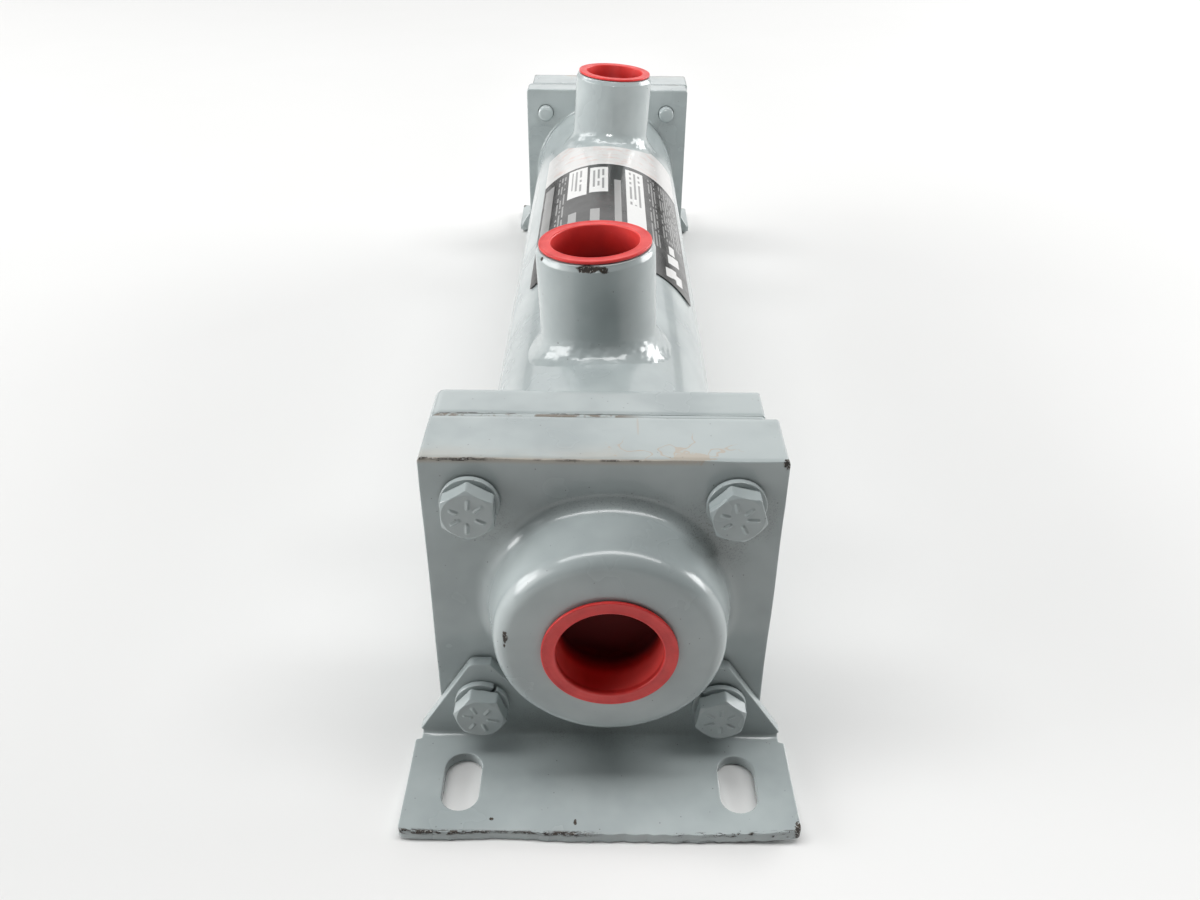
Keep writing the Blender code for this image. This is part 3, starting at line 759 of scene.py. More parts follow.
def gasket_fibre(word):
    """Pressed fibre, dark grey and dry, painted over at its edge, with a rusty hairline along the top.

    How far a point lies inside the edge is the smaller of its distances to the box's two pairs of sides.
    """
    tints = bpy.context.scene.cooler_colours
    low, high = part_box(word + "_gasket")
    make = Finish(f"{word}_gasket_fibre")
    felt = make.noise(0.8, 5, 0.8, twist=1.2)
    speck = make.fade(make.noise(0.5, 3, 0.7), 0.6, 0.7)
    base = make.mix(felt, (0.030, 0.032, 0.032), (0.085, 0.086, 0.082))
    base = make.mix(make.times(speck, 0.5), base, (0.16, 0.15, 0.13))
    x, _, z = make.split(make.mm)

    def depth(value, start, stop):
        """Distance in millimetres from a value to the nearer of two sides, given in metres."""
        off = make.math("ABSOLUTE", make.math("SUBTRACT", value, (start + stop) / 2 / MM))
        return make.math("SUBTRACT", (stop - start) / 2 / MM, off)

    inset = make.math("MINIMUM", depth(x, low.x, high.x), depth(z, low.z, high.z))
    painted = make.fade(inset, 1.1, 0.6)
    torn = make.fade(make.noise(5, 4, 0.7), 0.42, 0.54)
    reach = make.fade(make.math("MULTIPLY", x, -outward(word)), 12, 2)
    hair = make.times(torn, reach, make.fade(z, high.z / MM - 0.8, high.z / MM - 0.4))
    base = make.mix(painted, base, tuple(tints.paint))
    base = make.mix(make.times(hair, 0.8), base, (0.15, 0.11, 0.075))
    dry = make.fade(felt, 0.2, 0.8, 0.72, 0.92)
    roughness = make.math("MULTIPLY_ADD", painted, -0.4, dry)
    return make.done(base, roughness, make.bump(felt, 0.06 * MM))


# ---------------------------------------------------------------- bonnets, hubs, gaskets

def round_rows(profile):
    """A turned profile of (radius, height) as rows for between."""
    return np.column_stack([profile[:, 0], np.zeros((len(profile), 2)), profile[:, 1]])


def rim_rows(edge, deep, support, corner_places, side_steps):
    """Rows for between that go over a plate's rounded edge, down its side and round to its back."""
    over = np.radians(np.linspace(0, 90, corner_places))
    front = np.column_stack([0 * over, 0 * over + 1, edge * (1 - np.sin(over)), -edge * (1 - np.cos(over))])
    back = front[::-1].copy()
    back[:, 3] = -deep - back[:, 3]
    side = stretch((0, 1, 0, -edge), (0, 1, 0, edge - deep), steps=side_steps)[1:]
    return np.vstack([[(0, 1, support, 0)], front, side, back, [(0, 1, support, -deep)]])


def bonnet_rows(sizes):
    """The bonnet's section as rows for between.

    It runs up the port's bore, over the boss's face and rim, down its neck and fillet, out over
    the flange and round its edge, in under it, and through the water chamber back to the throat.
    """
    tall, deep, throat = sizes.boss_height, sizes.flange_depth, sizes.throat
    floor = tall - sizes.bore_depth
    mouth = sizes.bore + LIP
    rim_centre = (sizes.boss_rim - sizes.rim_round, tall - sizes.rim_depth)
    rim = bow(rim_centre, (sizes.rim_round, sizes.rim_depth), 90, 0, 16)
    fillet = sizes.boss_foot - sizes.boss_neck
    foot = bow((sizes.boss_foot, fillet), fillet, 180, 270, 12)
    boss = np.vstack([
        stretch((throat, floor), (sizes.bore, floor), (sizes.bore, tall - LIP), (mouth, tall), steps=4),
        stretch((mouth, tall), (rim_centre[0], tall), steps=8),
        rim, stretch(rim[-1], foot[0], steps=8)[1:], foot,
    ])
    support = sizes.cast_edge + 0.5 * MM
    roof, bevel, corner = 15 * MM - deep, 1 * MM, 6 * MM
    dome = bow((sizes.chamber - corner, roof - corner), corner, 0, 90, 8)
    chamber = np.vstack([
        stretch((sizes.chamber, -deep), dome[0], steps=3), dome,
        stretch(dome[-1], (throat + bevel, roof), (throat, roof + bevel), (throat, floor), steps=4)[1:],
    ])
    return np.vstack([
        round_rows(boss),
        stretch((sizes.boss_foot, 0, 0, 0), (sizes.boss_foot, 1, support, 0), steps=7)[1:],
        rim_rows(sizes.cast_edge, deep, support, 5, 14),
        stretch((sizes.chamber, 1, support, -deep), (sizes.chamber, 0, 0, -deep), steps=4)[1:],
        round_rows(chamber),
    ])


def make_bonnet(word, material):
    """A cast bonnet, carried from its round port to its square flange and drilled for its bolts.

    Slow and quick ripples move its surface a little off true, except in the port's bore.
    """
    sizes = bpy.context.scene.cooler_bonnet
    name = word + "_bonnet"
    low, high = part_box(name)
    end = outward(word)
    half, tall = (high.x - low.x) / 2, (high.z - low.z) / 2
    eye_x = middle(word + "_water_plug")[0]
    centre = -end * ((high.x + low.x) / 2 - eye_x)
    rounds = np.array([1.4, 1.0, 1.2, 1.6]) * MM

    def outline(inset):
        """The flange's outline about the port's axis, moved inwards."""
        return rounded_outline((centre - half, -tall), (centre + half, tall), rounds, 84, inset)

    rings = between(outline, np.zeros(2), bonnet_rows(sizes))
    in_bore = np.linalg.norm(rings[..., :2], axis=-1) < sizes.bore + 1.5 * MM
    true = from_end(word, rings, x=eye_x)
    rough = strayed(true, sizes.wobble, 26 * MM, 11 + int(end))
    rough = strayed(rough, sizes.wobble * 0.16, 7 * MM, 31 + int(end))
    bonnet = skin(name, np.where(in_bore[..., None], true, rough), sharp=60)
    cut(bonnet, bolt_holes(word, BOLT_HOLE, -sizes.flange_depth - MM, MM))
    return finish_piece(bonnet, name, "blue_grey_paint", material)


def bolt_nodes(word):
    """The bolts of one end, in order."""
    return nodes_named(word + "_bolt")


def from_bolt(word, node, local):
    """Points given across, up and outward from a bolt's place in the flange face, put in the frame."""
    x, _, z = middle(node)
    return from_end(word, local, x=x, z=z - AXIS[2])


def bolt_holes(word, radius, low, high):
    """Cutters for the bolts' holes, from one height over the flange face to another."""
    return [rod("hole", partial(from_bolt, word, node), radius, low, high) for node in bolt_nodes(word)]


def bonnet_wear(word):
    """Masks for a bonnet's wear, in millimetres; across is to the right, seen from outside that end."""
    low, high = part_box(word + "_bonnet")
    face, top = flange_face(word), high.z
    end = outward(word)

    def at(across, up, out):
        """A place at a share of the flange's half width, and so far over its top and before its face."""
        x = (low.x + high.x) / 2 - end * across * (high.x - low.x) / 2
        return (x, face + end * out * MM, top + up * MM)

    def by_boss(across, up, out):
        """A place so far across and up from the port's axis, and before the flange face."""
        x = middle(word + "_water_plug")[0] - end * across * MM
        return (x, face + end * out * MM, AXIS[2] + up * MM)

    def places(make):
        """Across, lengthwise, and over the flange's top."""
        x, y, z = make.split(make.mm)
        return make.math("MULTIPLY", x, -end), y, make.math("SUBTRACT", z, top / MM)

    def chips(make):
        """Worn paint along the left of the top front edge, a hairline further on, and three chips."""
        across, y, over = places(make)
        worn = make.fade(make.noise(1.5, 5, 0.75, make.squashed((0.7, 1.6, 1.6))), 0.50, 0.56)
        line = make.times(make.band(y, face / MM, 0.8, 0.3), make.fade(over, -0.9, -0.5))
        thin = make.fade(make.noise(7, 3), 0.42, 0.56)
        hair = make.times(make.band(y, face / MM, 0.45, 0.15), make.fade(over, -0.6, -0.25))
        return make.most(
            make.times(line, worn, make.fade(across, -20, -34)),
            make.times(hair, thin, make.fade(across, 26, 12), 0.8),
            make.blot(at(0.99, -0.5, -0.3), (1.3, 1.3, 1.8), 0.75, 0.7),
            make.blot(by_boss(-25.6, 4.4, 19.2), (0.9, 2.0, 2.4), 0.6, 1.0),
            make.blot(by_boss(-25.9, 1.6, 19.2), (0.6, 1.6, 1.1), 0.7, 1.0),
        )

    def stains(make):
        """On the top: a wash, rings that follow a level of slow noise, a bright patch and a thin line;
        and a stain that runs over the front edge."""
        across, y, over = places(make)
        on_top = make.fade(over, -1.2, -0.3)
        span = make.fade(across, 27, 20)
        cloud = make.fade(make.noise(11, 4, 0.6, make.squashed((0.5, 1.6, 1))), 0.34, 0.75)
        curl = make.band(make.noise(9, 2, 0.4), 0.5, 0.012, 0.004)
        return make.most(
            make.times(on_top, make.band(y, face / MM, 9.5, 0.5), span, cloud, 0.3),
            make.times(on_top, curl, make.blot(at(0.38, 0, -5), (17, 8, 4), 0.3), 0.6),
            make.times(make.blot(at(0.47, 0, -1.6), (5.5, 1.9, 2), 0.8), 0.6),
            make.times(make.band(y, face / MM, 0.9, 0.2), make.fade(over, -1.8, -0.4), span, 0.55),
            make.times(on_top, make.blot(at(0.19, 0, -15.5), (0.3, 4.5, 2), 0.1), 0.35),
        )

    def dust(make):
        """Dust below each bolt, beside the boss and over its crown."""
        bolts = [
            make.blot((x - end * 3 * MM, face, z - 5 * MM), (11, 3, 10), 0.4, 5.0, 0.8)
            for x, _, z in map(middle, bolt_nodes(word))
        ]
        beside = make.blot(by_boss(24, 22, 0), (15, 8, 15), 0.4, 5.0, 0.8)
        crown = make.blot(by_boss(0, 31, 0), (26, 5, 6), 0.4, 5.0, 0.8)
        return make.most(beside, *bolts, make.times(crown, 0.6))

    return {"chips": chips, "stains": stains, "dust": dust}


def make_hub(word, material):
    """A flat plate with a stepped bore and a small braze fillet round the shell.

    From outside in, the bore holds the tube sheet, a stop ring and the end of the shell. At the
    fillet's end the plate reaches a hair into the shell, so that no gap shows.
    """
    name = word + "_hub"
    low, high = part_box(name)
    end = outward(word)
    depth = high.y - low.y
    start = abs(flange_face(word)) - abs(low.y if end < 0 else high.y)
    half, shift = (high.x - low.x) / 2, -end * (high.x + low.x) / 2
    up, down = high.z - AXIS[2], low.z - AXIS[2]
    rounds = np.array((1.0, 0.9, 3.2, 1.2) if end < 0 else (1.4,) * 4) * MM

    def outline(inset):
        """The plate's outline about the shell's axis, moved inwards."""
        return rounded_outline((shift - half, down), (shift + half, up), rounds, 30, inset)

    edge, support, braze = 0.4 * MM, 0.9 * MM, 1.3 * MM
    sheet_r = extent(word + "_tube_sheet")[0] / 2 + GAP
    sheet_deep = extent(word + "_tube_sheet")[1] + GAP
    stop_r, socket = sheet_r - 1.8 * MM, depth - 4.8 * MM
    shell_r, touch_r = SHELL_R + GAP, SHELL_R - 0.02 * MM
    bore = np.vstack([
        bow((shell_r + braze, -depth - braze), braze, 90, 180, 6),
        stretch(
            (touch_r, -depth - braze), (touch_r, -depth), (shell_r, -depth + 0.2 * MM), (shell_r, -socket),
            (stop_r, -socket), (stop_r, -sheet_deep), (sheet_r, -sheet_deep), (sheet_r, 0), steps=2,
        ),
    ])
    rows = np.vstack([
        stretch((sheet_r, 0, 0, 0), (sheet_r, 1, support, 0), steps=6),
        rim_rows(edge, depth, support, 4, 8),
        stretch((shell_r + braze, 1, support, -depth), (shell_r + braze, 0, 0, -depth), steps=5)[1:],
        round_rows(bore),
    ])
    rings = between(outline, np.zeros(2), rows) - np.array([0, 0, start])
    hub = skin(name, strayed(from_end(word, rings), 0.05 * MM, 30 * MM, 51 + int(end)), sharp=60)
    cut(hub, bolt_holes(word, 4.28 * MM, -start - depth - MM, -start + MM))
    return finish_piece(hub, name, "blue_grey_paint", material)


def hub_wear(word):
    """Masks for a hub's wear: a rusty line where its top meets the bonnet, dust round the bolt tips."""
    low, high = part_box(word + "_hub")
    end = outward(word)
    joint, face = (high.y, low.y) if end > 0 else (low.y, high.y)

    def chips(make):
        """The line, along the left of the top."""
        x, y, z = make.split(make.mm)
        torn = make.fade(make.noise(6, 4, 0.7, make.squashed((0.6, 1, 1))), 0.50, 0.58)
        span = make.fade(make.math("MULTIPLY", x, -end), 8, -8)
        on_top = make.fade(z, high.z / MM - 0.8, high.z / MM - 0.4)
        return make.times(make.band(y, joint / MM, 0.55, 0.2), torn, span, on_top, 0.6)

    def dust(make):
        """A patch under each bolt's tip."""
        spots = [
            make.blot((x, face, z - 3 * MM), (8, 3, 8), 0.4, 4.0, 0.8)
            for x, _, z in map(middle, bolt_nodes(word))
        ]
        return make.times(make.most(*spots), 0.7)

    return {"chips": chips, "dust": dust}


def on_flange(word, node, flat):
    """A sheet's u, v and w as across, up and outward at an end, its middle plane in the middle of a node."""
    low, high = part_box(node)
    deep = abs(flange_face(word)) - abs(low.y + high.y) / 2
    return from_end(word, flat - np.array([0, 0, deep]))


def make_gasket(word, material):
    """The gasket, swollen to fill the joint, its edge a hair inside the hub's."""
    name = word + "_gasket"
    low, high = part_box(name)
    end = outward(word)
    left, right = sorted((-end * low.x, -end * high.x))
    rounds = np.array((1.0, 0.9, 3.0, 1.0) if end < 0 else (1.4,) * 4) * MM
    outer = rounded_outline((left, low.z - AXIS[2]), (right, high.z - AXIS[2]), rounds, 24, -GAP)
    water = circle((0, 0), 30 * MM, 96, True)
    bolts = map(middle, bolt_nodes(word))
    holes = [circle((-end * x, z - AXIS[2]), BOLT_HOLE, 28, True) for x, _, z in bolts]
    thick = high.y - low.y + 0.56 * MM
    place = partial(on_flange, word, name)
    gasket = sheet(name, [outer, water] + holes, thick, 0.15 * MM, (3 * MM, 3 * MM), place)
    return finish_piece(gasket, name, "gasket_fibre", material)


# ---------------------------------------------------------------- shell, couplings, plugs

def make_shell(material):
    """The shell's tube: two turned walls joined at their ends, opened under both ports.

    It is very slightly out of round: a slow ripple swells and shrinks its radius.
    """
    low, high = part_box("shell_tube")
    wall, swelling = 1.9 * MM, 0.05 * MM
    outer = np.column_stack([np.full(120, SHELL_R), np.linspace(low.y, high.y, 120)])
    inner = np.column_stack([np.full(12, SHELL_R - wall), np.linspace(high.y, low.y, 12)])
    centre = np.array([AXIS[0], 0, AXIS[2]])
    rings = lengthwise(np.vstack([outer, inner]), 224, centre)
    swell = 1 + swelling / SHELL_R * ripple(rings, 60 * MM, 71)
    rings = centre + (rings - centre) * np.stack([swell, np.ones_like(swell), swell], -1)
    shell = skin("shell_tube", rings, sharp=60)
    cut(shell, [rod("way", partial(from_port, word), 11.5 * MM, 20 * MM, 45 * MM, 64) for word in ENDS])
    return finish_piece(shell, "shell_tube", "blue_grey_paint", material)


def saddle(radius, angle, reach):
    """Height at which a circle about a port's axis meets a cylinder of this reach about the shell's axis."""
    return np.sqrt(reach**2 - (radius * np.cos(angle)) ** 2)


def make_coupling(word, material):
    """A turned coupling on a saddle, with a hand-laid weld.

    Each ring has a radius and a height, and the height is either level or that of the saddle.
    The weld is a hollow fillet, a quarter ellipse mixed with a straight line, and its rings swell
    and sink in uneven ripples, as a welder's weave leaves them under the paint.
    """
    sizes, bonnet = bpy.context.scene.cooler_ports, bpy.context.scene.cooler_bonnet
    throat, bore, face, wall, top = bonnet.throat, bonnet.bore, sizes.face, sizes.coupling, sizes.top
    floor, shoulder, mouth, soft = top - bonnet.bore_depth, top - sizes.chamfer, bore + LIP, 0.35 * MM
    seat, buried = SHELL_R + 0.25 * MM, SHELL_R - 0.15 * MM
    places = 240
    angle = np.arange(places) * TURN / places
    level = np.ones(places)
    rings = []

    def ring(radius, height):
        """Adds a ring. Its radius and height are each one number, or one for every angle."""
        radius = radius * level
        rings.append(np.stack([radius * np.cos(angle), radius * np.sin(angle), height * level], -1))

    for share in np.linspace(0, 1, 5):
        ring(throat, (1 - share) * saddle(throat, angle, seat) + share * floor)
    profile = np.vstack([
        stretch((throat, floor), (bore, floor), (bore, top - LIP), (mouth, top), steps=3)[1:],
        stretch((mouth, top), (face - soft, top), steps=3),
        bow((face - soft, top - soft), soft, 90, 25, 4),
        stretch((face, top - 0.4 * MM), (wall - 0.1 * MM, shoulder), steps=4),
        bow((wall - 0.5 * MM, shoulder - 0.3 * MM), 0.5 * MM, 20, 0, 2),
    ])
    for radius, height in profile:
        ring(radius, height)
    base = saddle(wall, angle, seat) + sizes.weld_height
    late = np.random.default_rng(5 + len(word)).uniform(0, TURN)
    sway = 0.5 * np.sin(2 * angle + 1.1) + 0.35 * np.sin(5 * angle + late) + 0.3 * np.sin(9 * angle)
    top_edge = base + 0.5 * MM * sway
    for share in np.linspace(0, 1, 12):
        ring(wall, (1 - share) * (shoulder - 0.8 * MM) + share * top_edge)
    for share in np.linspace(0, 1, 26)[1:]:
        turn = math.pi / 2 * (1 - share)
        hollow = 0.75 * (1 - math.sin(turn)) + 0.25 * share
        fall = 0.75 * (1 - math.cos(turn)) + 0.25 * (1 - share)
        out = wall + (sizes.weld - wall) * hollow
        height = saddle(out, angle, buried) + fall * (top_edge - base + sizes.weld_height)
        window = math.sin(math.pi * share) ** 0.7
        spot = np.stack([out * np.cos(angle), out * np.sin(angle), height], -1)
        beads = 0.032 * MM * ripple(spot, 3.6 * MM, 401) + 0.013 * MM * ripple(spot, 1.3 * MM, 402)
        ring(out + window * beads, height + window * (beads + 0.2 * MM * sway))
    ring(sizes.weld - 0.3 * MM, saddle(sizes.weld, angle, buried) - 0.6 * MM)
    ring(wall, saddle(wall, angle, buried) - 0.4 * MM)
    ring(throat + 1.5 * MM, saddle(throat + 1.5 * MM, angle, buried) - 0.2 * MM)
    coupling = skin(word + "_oil_coupling", from_port(word, np.array(rings)), sharp=60)
    return finish_piece(coupling, word + "_oil_coupling", "blue_grey_paint", material)


def coupling_wear(word):
    """Masks for a coupling's wear: chips on its rim, pinholes on its wall and dust at its foot."""
    sizes = bpy.context.scene.cooler_ports

    def on_rim(degrees, drop=0.0):
        """A place on the rim, from its front anticlockwise, some millimetres below the bevel's middle."""
        turn = math.radians(degrees)
        r, height = sizes.coupling - 0.2 * MM, sizes.top - 0.9 * MM - drop * MM
        return from_port(word, np.array([r * math.sin(turn), -r * math.cos(turn), height]))

    def chips(make):
        """A black chip before the front coupling, two small ones, and one behind the rear coupling."""
        pins = make.times(make.fade(make.cells(4.7), 0.075, 0.05), make.fade(make.noise(8, 1), 0.5, 0.56))
        if word == "rear":
            return make.most(pins, make.blot(on_rim(150), (1.6, 1.2, 0.7), 0.7))
        return make.most(
            pins,
            make.blot(on_rim(-7, -0.2), (4.6, 2.0, 1.1), 0.55, 1.6),
            make.blot(on_rim(8, 0.3), (1.6, 1.4, 1.0), 0.7, 0.9),
            make.blot(on_rim(-62), (1.0, 1.0, 0.7), 0.8),
        )

    def dust(make):
        """A faint ring of dust at the weld."""
        toe = from_port(word, np.array([0, 0, saddle(sizes.weld, 0.0, SHELL_R)]))
        return make.times(make.blot(toe, (26, 26, 6), 0.4, 5.0, 0.6), 0.25)

    return {"chips": chips, "dust": dust}


def plug_profile(sizes):
    """A hollow plug's section, from the middle of its closed end over its rim to the middle of its floor."""
    low, seat = -sizes.plug_length, sizes.seat_gap
    top = seat + sizes.plug_rim_thick
    body, cup, rim = sizes.plug_body, sizes.plug_cup, sizes.plug_rim
    tip, foot = body - sizes.plug_taper, cup - sizes.plug_taper
    floor = low + sizes.plug_floor
    pip = floor + 0.05 * MM
    blunt, soft, lip, hollow = 0.8 * MM, 0.25 * MM, 0.45 * MM, 1.2 * MM
    return np.vstack([
        stretch((0, low), (tip - blunt, low), steps=6),
        bow((tip - blunt, low + blunt), blunt, -90, 0, 5),
        stretch((tip, low + 1 * MM), (body, seat), (rim - soft, seat), steps=8)[1:],
        bow((rim - soft, seat + soft), soft, -90, 0, 4),
        bow((rim - soft, top - soft), soft, 0, 90, 4),
        stretch(
            (rim - 0.4 * MM, top), (rim - 1.1 * MM, top - 0.10 * MM), (cup + 1.0 * MM, top - 0.08 * MM),
            (cup + lip, top), steps=4,
        ),
        bow((cup + lip, top - lip), lip, 90, 180, 5),
        stretch((cup, top - 0.8 * MM), (foot, floor + hollow), steps=12),
        bow((foot - hollow, floor + hollow), hollow, 0, -90, 6),
        stretch((foot - 1.6 * MM, floor), (1.8 * MM, floor), (1.4 * MM, pip), (0, pip), steps=5),
        [(0, pip)],
    ])


def mark_depth(plug, place, gloom):
    """Writes the attribute cup_depth on a plug's points.

    It goes evenly from gloom's first value at the cup's mouth to its second at the floor, and is
    0 outside the cup. A point is in the cup when it lies within the cup's radius of the plug's
    axis and above its floor.
    """
    sizes = bpy.context.scene.cooler_ports
    points = np.empty(3 * len(plug.data.vertices), np.float32)
    plug.data.vertices.foreach_get("co", points)
    mouth, above = place(np.array([[0.0, 0.0, 0.0], [0.0, 0.0, 1.0]]))
    away = points.reshape(-1, 3) - mouth
    height = away @ (above - mouth)
    radius = np.linalg.norm(away - height[:, None] * (above - mouth), axis=1)
    floor = sizes.plug_length - sizes.plug_floor
    in_cup = (radius < sizes.plug_cup + 0.2 * MM) & (height > -floor - 0.5 * MM)
    depth = np.where(in_cup, gloom[0] + (gloom[1] - gloom[0]) * np.clip(-height / floor, 0, 1), 0)
    # cup_depth drives the painted highlight near the cup's mouth and the painted shade deeper in the cup.
    marks = plug.data.attributes.new("cup_depth", "FLOAT", "POINT")
    marks.data.foreach_set("value", depth.astype(np.float32))


def from_water_mouth(word, local):
    """Points given about the middle of a water port's face, put in the frame."""
    lift = np.array([0, 0, bpy.context.scene.cooler_bonnet.boss_height])
    return from_end(word, local + lift, x=middle(word + "_water_plug")[0])


def from_oil_mouth(word, local):
    """Points given about the middle of an oil port's face, put in the frame."""
    return from_port(word, local + np.array([0, 0, bpy.context.scene.cooler_ports.top]))


def make_plug(name, place, material, seed, gloom):
    """A turned cup whose rim and walls stray a little from round, as thin mouldings do.

    Its radius varies as two and five waves in a turn, more towards the rim.
    """
    rings = turned(plug_profile(bpy.context.scene.cooler_ports), 128)
    angle = np.arctan2(rings[..., 1], rings[..., 0])
    above = np.clip((rings[..., 2] + 2 * MM) / (3 * MM), 0, 1)
    oval = 1 + 0.0035 * above * np.sin(2 * angle + seed) + 0.0015 * above * np.sin(5 * angle + 2 * seed)
    rings[..., :2] *= oval[..., None]
    plug = skin(name, place(rings), closed_path=False, sharp=60)
    mark_depth(plug, place, gloom)
    return finish_piece(plug, name, "red_plastic", material, body=name)


# ---------------------------------------------------------------- bolts and washers

def hexagon(angle, flats):
    """Distance from the middle to a hexagon with softened corners, a corner pointing up: half the
    flats over a high power mean of the cosines to its three pairs of sides."""
    facing = np.abs(np.cos(angle[:, None] - np.radians((0, 60, 120))))
    return flats / 2 / (facing**60).sum(1) ** (1 / 60)


def bolt_rings(sizes, seat, low, twist, seed):
    """Rings of a bolt along its axis: head with marks and chamfer, washer face, shank, thread, point.

    A ring's radius is the smaller of the hexagon and the row's own radius, which cuts the head's
    corners with a cone. The marks are ridges of bell-shaped section along six radii. The thread's
    radius falls and rises with height over pitch less the turn, so it is a true helix.
    """
    places, top_rows = 156, 32
    angle = np.arange(places) * TURN / places
    level = np.ones(places)
    half, shank, top = sizes.flats / 2, sizes.shank, seat + sizes.head
    flat_r, soft, slope = half - 0.25 * MM, 0.3 * MM, math.radians(30)
    edge = bow((flat_r, top - soft), soft, 90, 62, 3)[1:]
    run = half / math.cos(slope) + 0.1 * MM - edge[-1, 0]
    cone = edge[-1] + run * np.linspace(0, 1, 9)[1:, None] * np.array([1, -math.tan(slope)])
    side = np.linspace(cone[-1, 1], seat + 0.5 * MM, 8)[1:]
    rows = np.vstack([
        np.column_stack([np.linspace(0, flat_r, top_rows), np.full(top_rows, top)]), edge, cone,
        np.column_stack([np.full(len(side), 9 * MM), side]),
        [(half - 0.15 * MM, seat + 0.22 * MM), (half - 0.3 * MM, seat)],
        stretch((half - 0.6 * MM, seat), (shank + 0.2 * MM, seat), (shank, seat - 0.3 * MM), steps=2),
    ])
    radius = np.minimum(rows[:, :1], hexagon(angle - twist, sizes.flats))
    height = rows[:, 1:] * level
    random = np.random.default_rng(seed)
    for i in range(6):
        way = math.radians(60 * i + 30 + random.normal(0, 5)) + twist
        start, stop = random.uniform(1.6, 2.2) * MM, random.uniform(4.6, 5.2) * MM
        off, out = radius * np.sin(angle - way), radius * np.cos(angle - way)
        span = np.clip((out - start) / (0.5 * MM), 0, 1) * np.clip((stop - out) / (0.5 * MM), 0, 1)
        ridge = np.exp(-((np.abs(off) / (0.40 * MM)) ** 3)) * span
        height[:top_rows] += sizes.mark_height * random.uniform(0.7, 1.1) * ridge[:top_rows]
    thread_top, thread_end = low + 9 * MM, low + 0.9 * MM
    smooth = stretch((shank, seat - 0.4 * MM), (shank, thread_top), steps=3)
    threaded = np.linspace(thread_top, thread_end, 52)[:, None]
    groove = np.abs((threaded / sizes.pitch - angle / TURN) % 1 * 2 - 1) ** 1.3
    fade = np.clip((threaded - thread_end) / (0.8 * MM), 0.25, 1)
    point = np.array([
        (shank - 0.5 * MM, low + 0.5 * MM), (shank - 1.0 * MM, low + 0.1 * MM),
        (shank - 1.5 * MM, low), (0, low),
    ])
    thread = shank - 0.42 * MM * groove * fade
    radius = np.vstack([radius, smooth[:, :1] * level, thread, point[:, :1] * level])
    height = np.vstack([height, smooth[:, 1:] * level, threaded * level, point[:, 1:] * level])
    return np.stack([radius * np.cos(angle), radius * np.sin(angle), height], -1)


# How far the front heads are turned from having a corner on top, in degrees.
HEAD_TWIST = {
    "front_bolt_upper_left": 0.0, "front_bolt_upper_right": 17.0,
    "front_bolt_lower_left": 20.0, "front_bolt_lower_right": -8.0,
}


def make_bolt(word, node, index, material):
    """A bolt that fills its node's length, its head turned by an angle of its own."""
    sizes = bpy.context.scene.cooler_bolts
    low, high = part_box(node)
    face, end = abs(flange_face(word)), outward(word)
    top = (high.y if end > 0 else -low.y) - face
    tip = (low.y if end > 0 else -high.y) - face
    twist = math.radians(HEAD_TWIST.get(node, 11.0 * index))
    rings = bolt_rings(sizes, top - sizes.head, tip, twist, 200 + index)
    bolt = skin(node, from_bolt(word, node, rings), closed_path=False, sharp=60)
    return finish_piece(bolt, node, "blue_grey_paint", material)


def make_washer(word, bolt, index, material):
    """A spring washer: a rounded rectangle carried round one turn less a split while it rises a little."""
    sizes = bpy.context.scene.cooler_bolts
    node = bolt.replace("bolt", "lock_washer")
    low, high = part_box(node)
    thick = high.y - low.y
    centre_out = abs(low.y + high.y) / 2 - abs(flange_face(word))
    inner, outer = sizes.washer_bore, (high.z - low.z) / 2
    half = (outer - inner) / 2
    section = rounded_outline((-half, -thick / 2), (half, thick / 2), [0.3 * MM] * 4, 4)
    split, places = math.radians(9), 97
    sweep = np.linspace(split / 2, TURN - split / 2, places)
    share = (sweep / TURN - 0.5)[:, None]
    radius = (inner + outer) / 2 + section[:, 0]
    height = section[:, 1] * (1 - 0.12 * share) + sizes.washer_rise * share
    turn = sweep[:, None] + math.radians(58 + 77 * index)
    rings = np.stack([radius * np.cos(turn), radius * np.sin(turn), height + centre_out], -1)
    ends = [np.broadcast_to(rings[i].mean(0), rings[i].shape)[None] for i in (0, -1)]
    rings = np.vstack([ends[0], rings, ends[1]])
    washer = skin(node, from_bolt(word, bolt, rings), closed_path=False, sharp=50)
    return finish_piece(washer, node, "blue_grey_paint", material)


# ---------------------------------------------------------------- brackets

def fillet_corners(points, radii, steps=5):
    """An outline through corner points, each corner rounded by an arc of its own radius.

    The arc is the quadratic curve from a point on one side, through the corner, to one on the other.
    """
    points = np.array(points, float)
    made = []
    for before, corner, after, radius in zip(np.roll(points, 1, 0), points, np.roll(points, -1, 0), radii):
        if radius == 0:
            made.append(corner[None])
            continue
        a = corner + radius * (before - corner) / np.linalg.norm(before - corner)
        b = corner + radius * (after - corner) / np.linalg.norm(after - corner)
        t = np.linspace(0, 1, steps + 1)[:, None]
        made.append((1 - t) ** 2 * a + 2 * t * (1 - t) * corner + t**2 * b)
    return np.vstack(made)


def evenly(loop, step):
    """A closed outline with extra points on its long sides, so that no side is longer than step."""
    after = np.roll(loop, -1, 0)
    counts = np.maximum(1, np.ceil(np.linalg.norm(after - loop, axis=1) / step)).astype(int)
    first = np.repeat(np.arange(len(loop)), counts)
    along = np.arange(len(first)) - np.repeat(np.cumsum(counts) - counts, counts)
    share = along / np.repeat(counts, counts)
    return loop[first] + (after - loop)[first] * share[:, None]


def slot_outline(x, y, width, length):
    """A slot with round ends, clockwise."""
    r, d = width / 2, length / 2 - width / 2
    return evenly(np.vstack([bow((x, y + d), r, 180, 0, 14), bow((x, y - d), r, 0, -180, 14)]), 1.6 * MM)


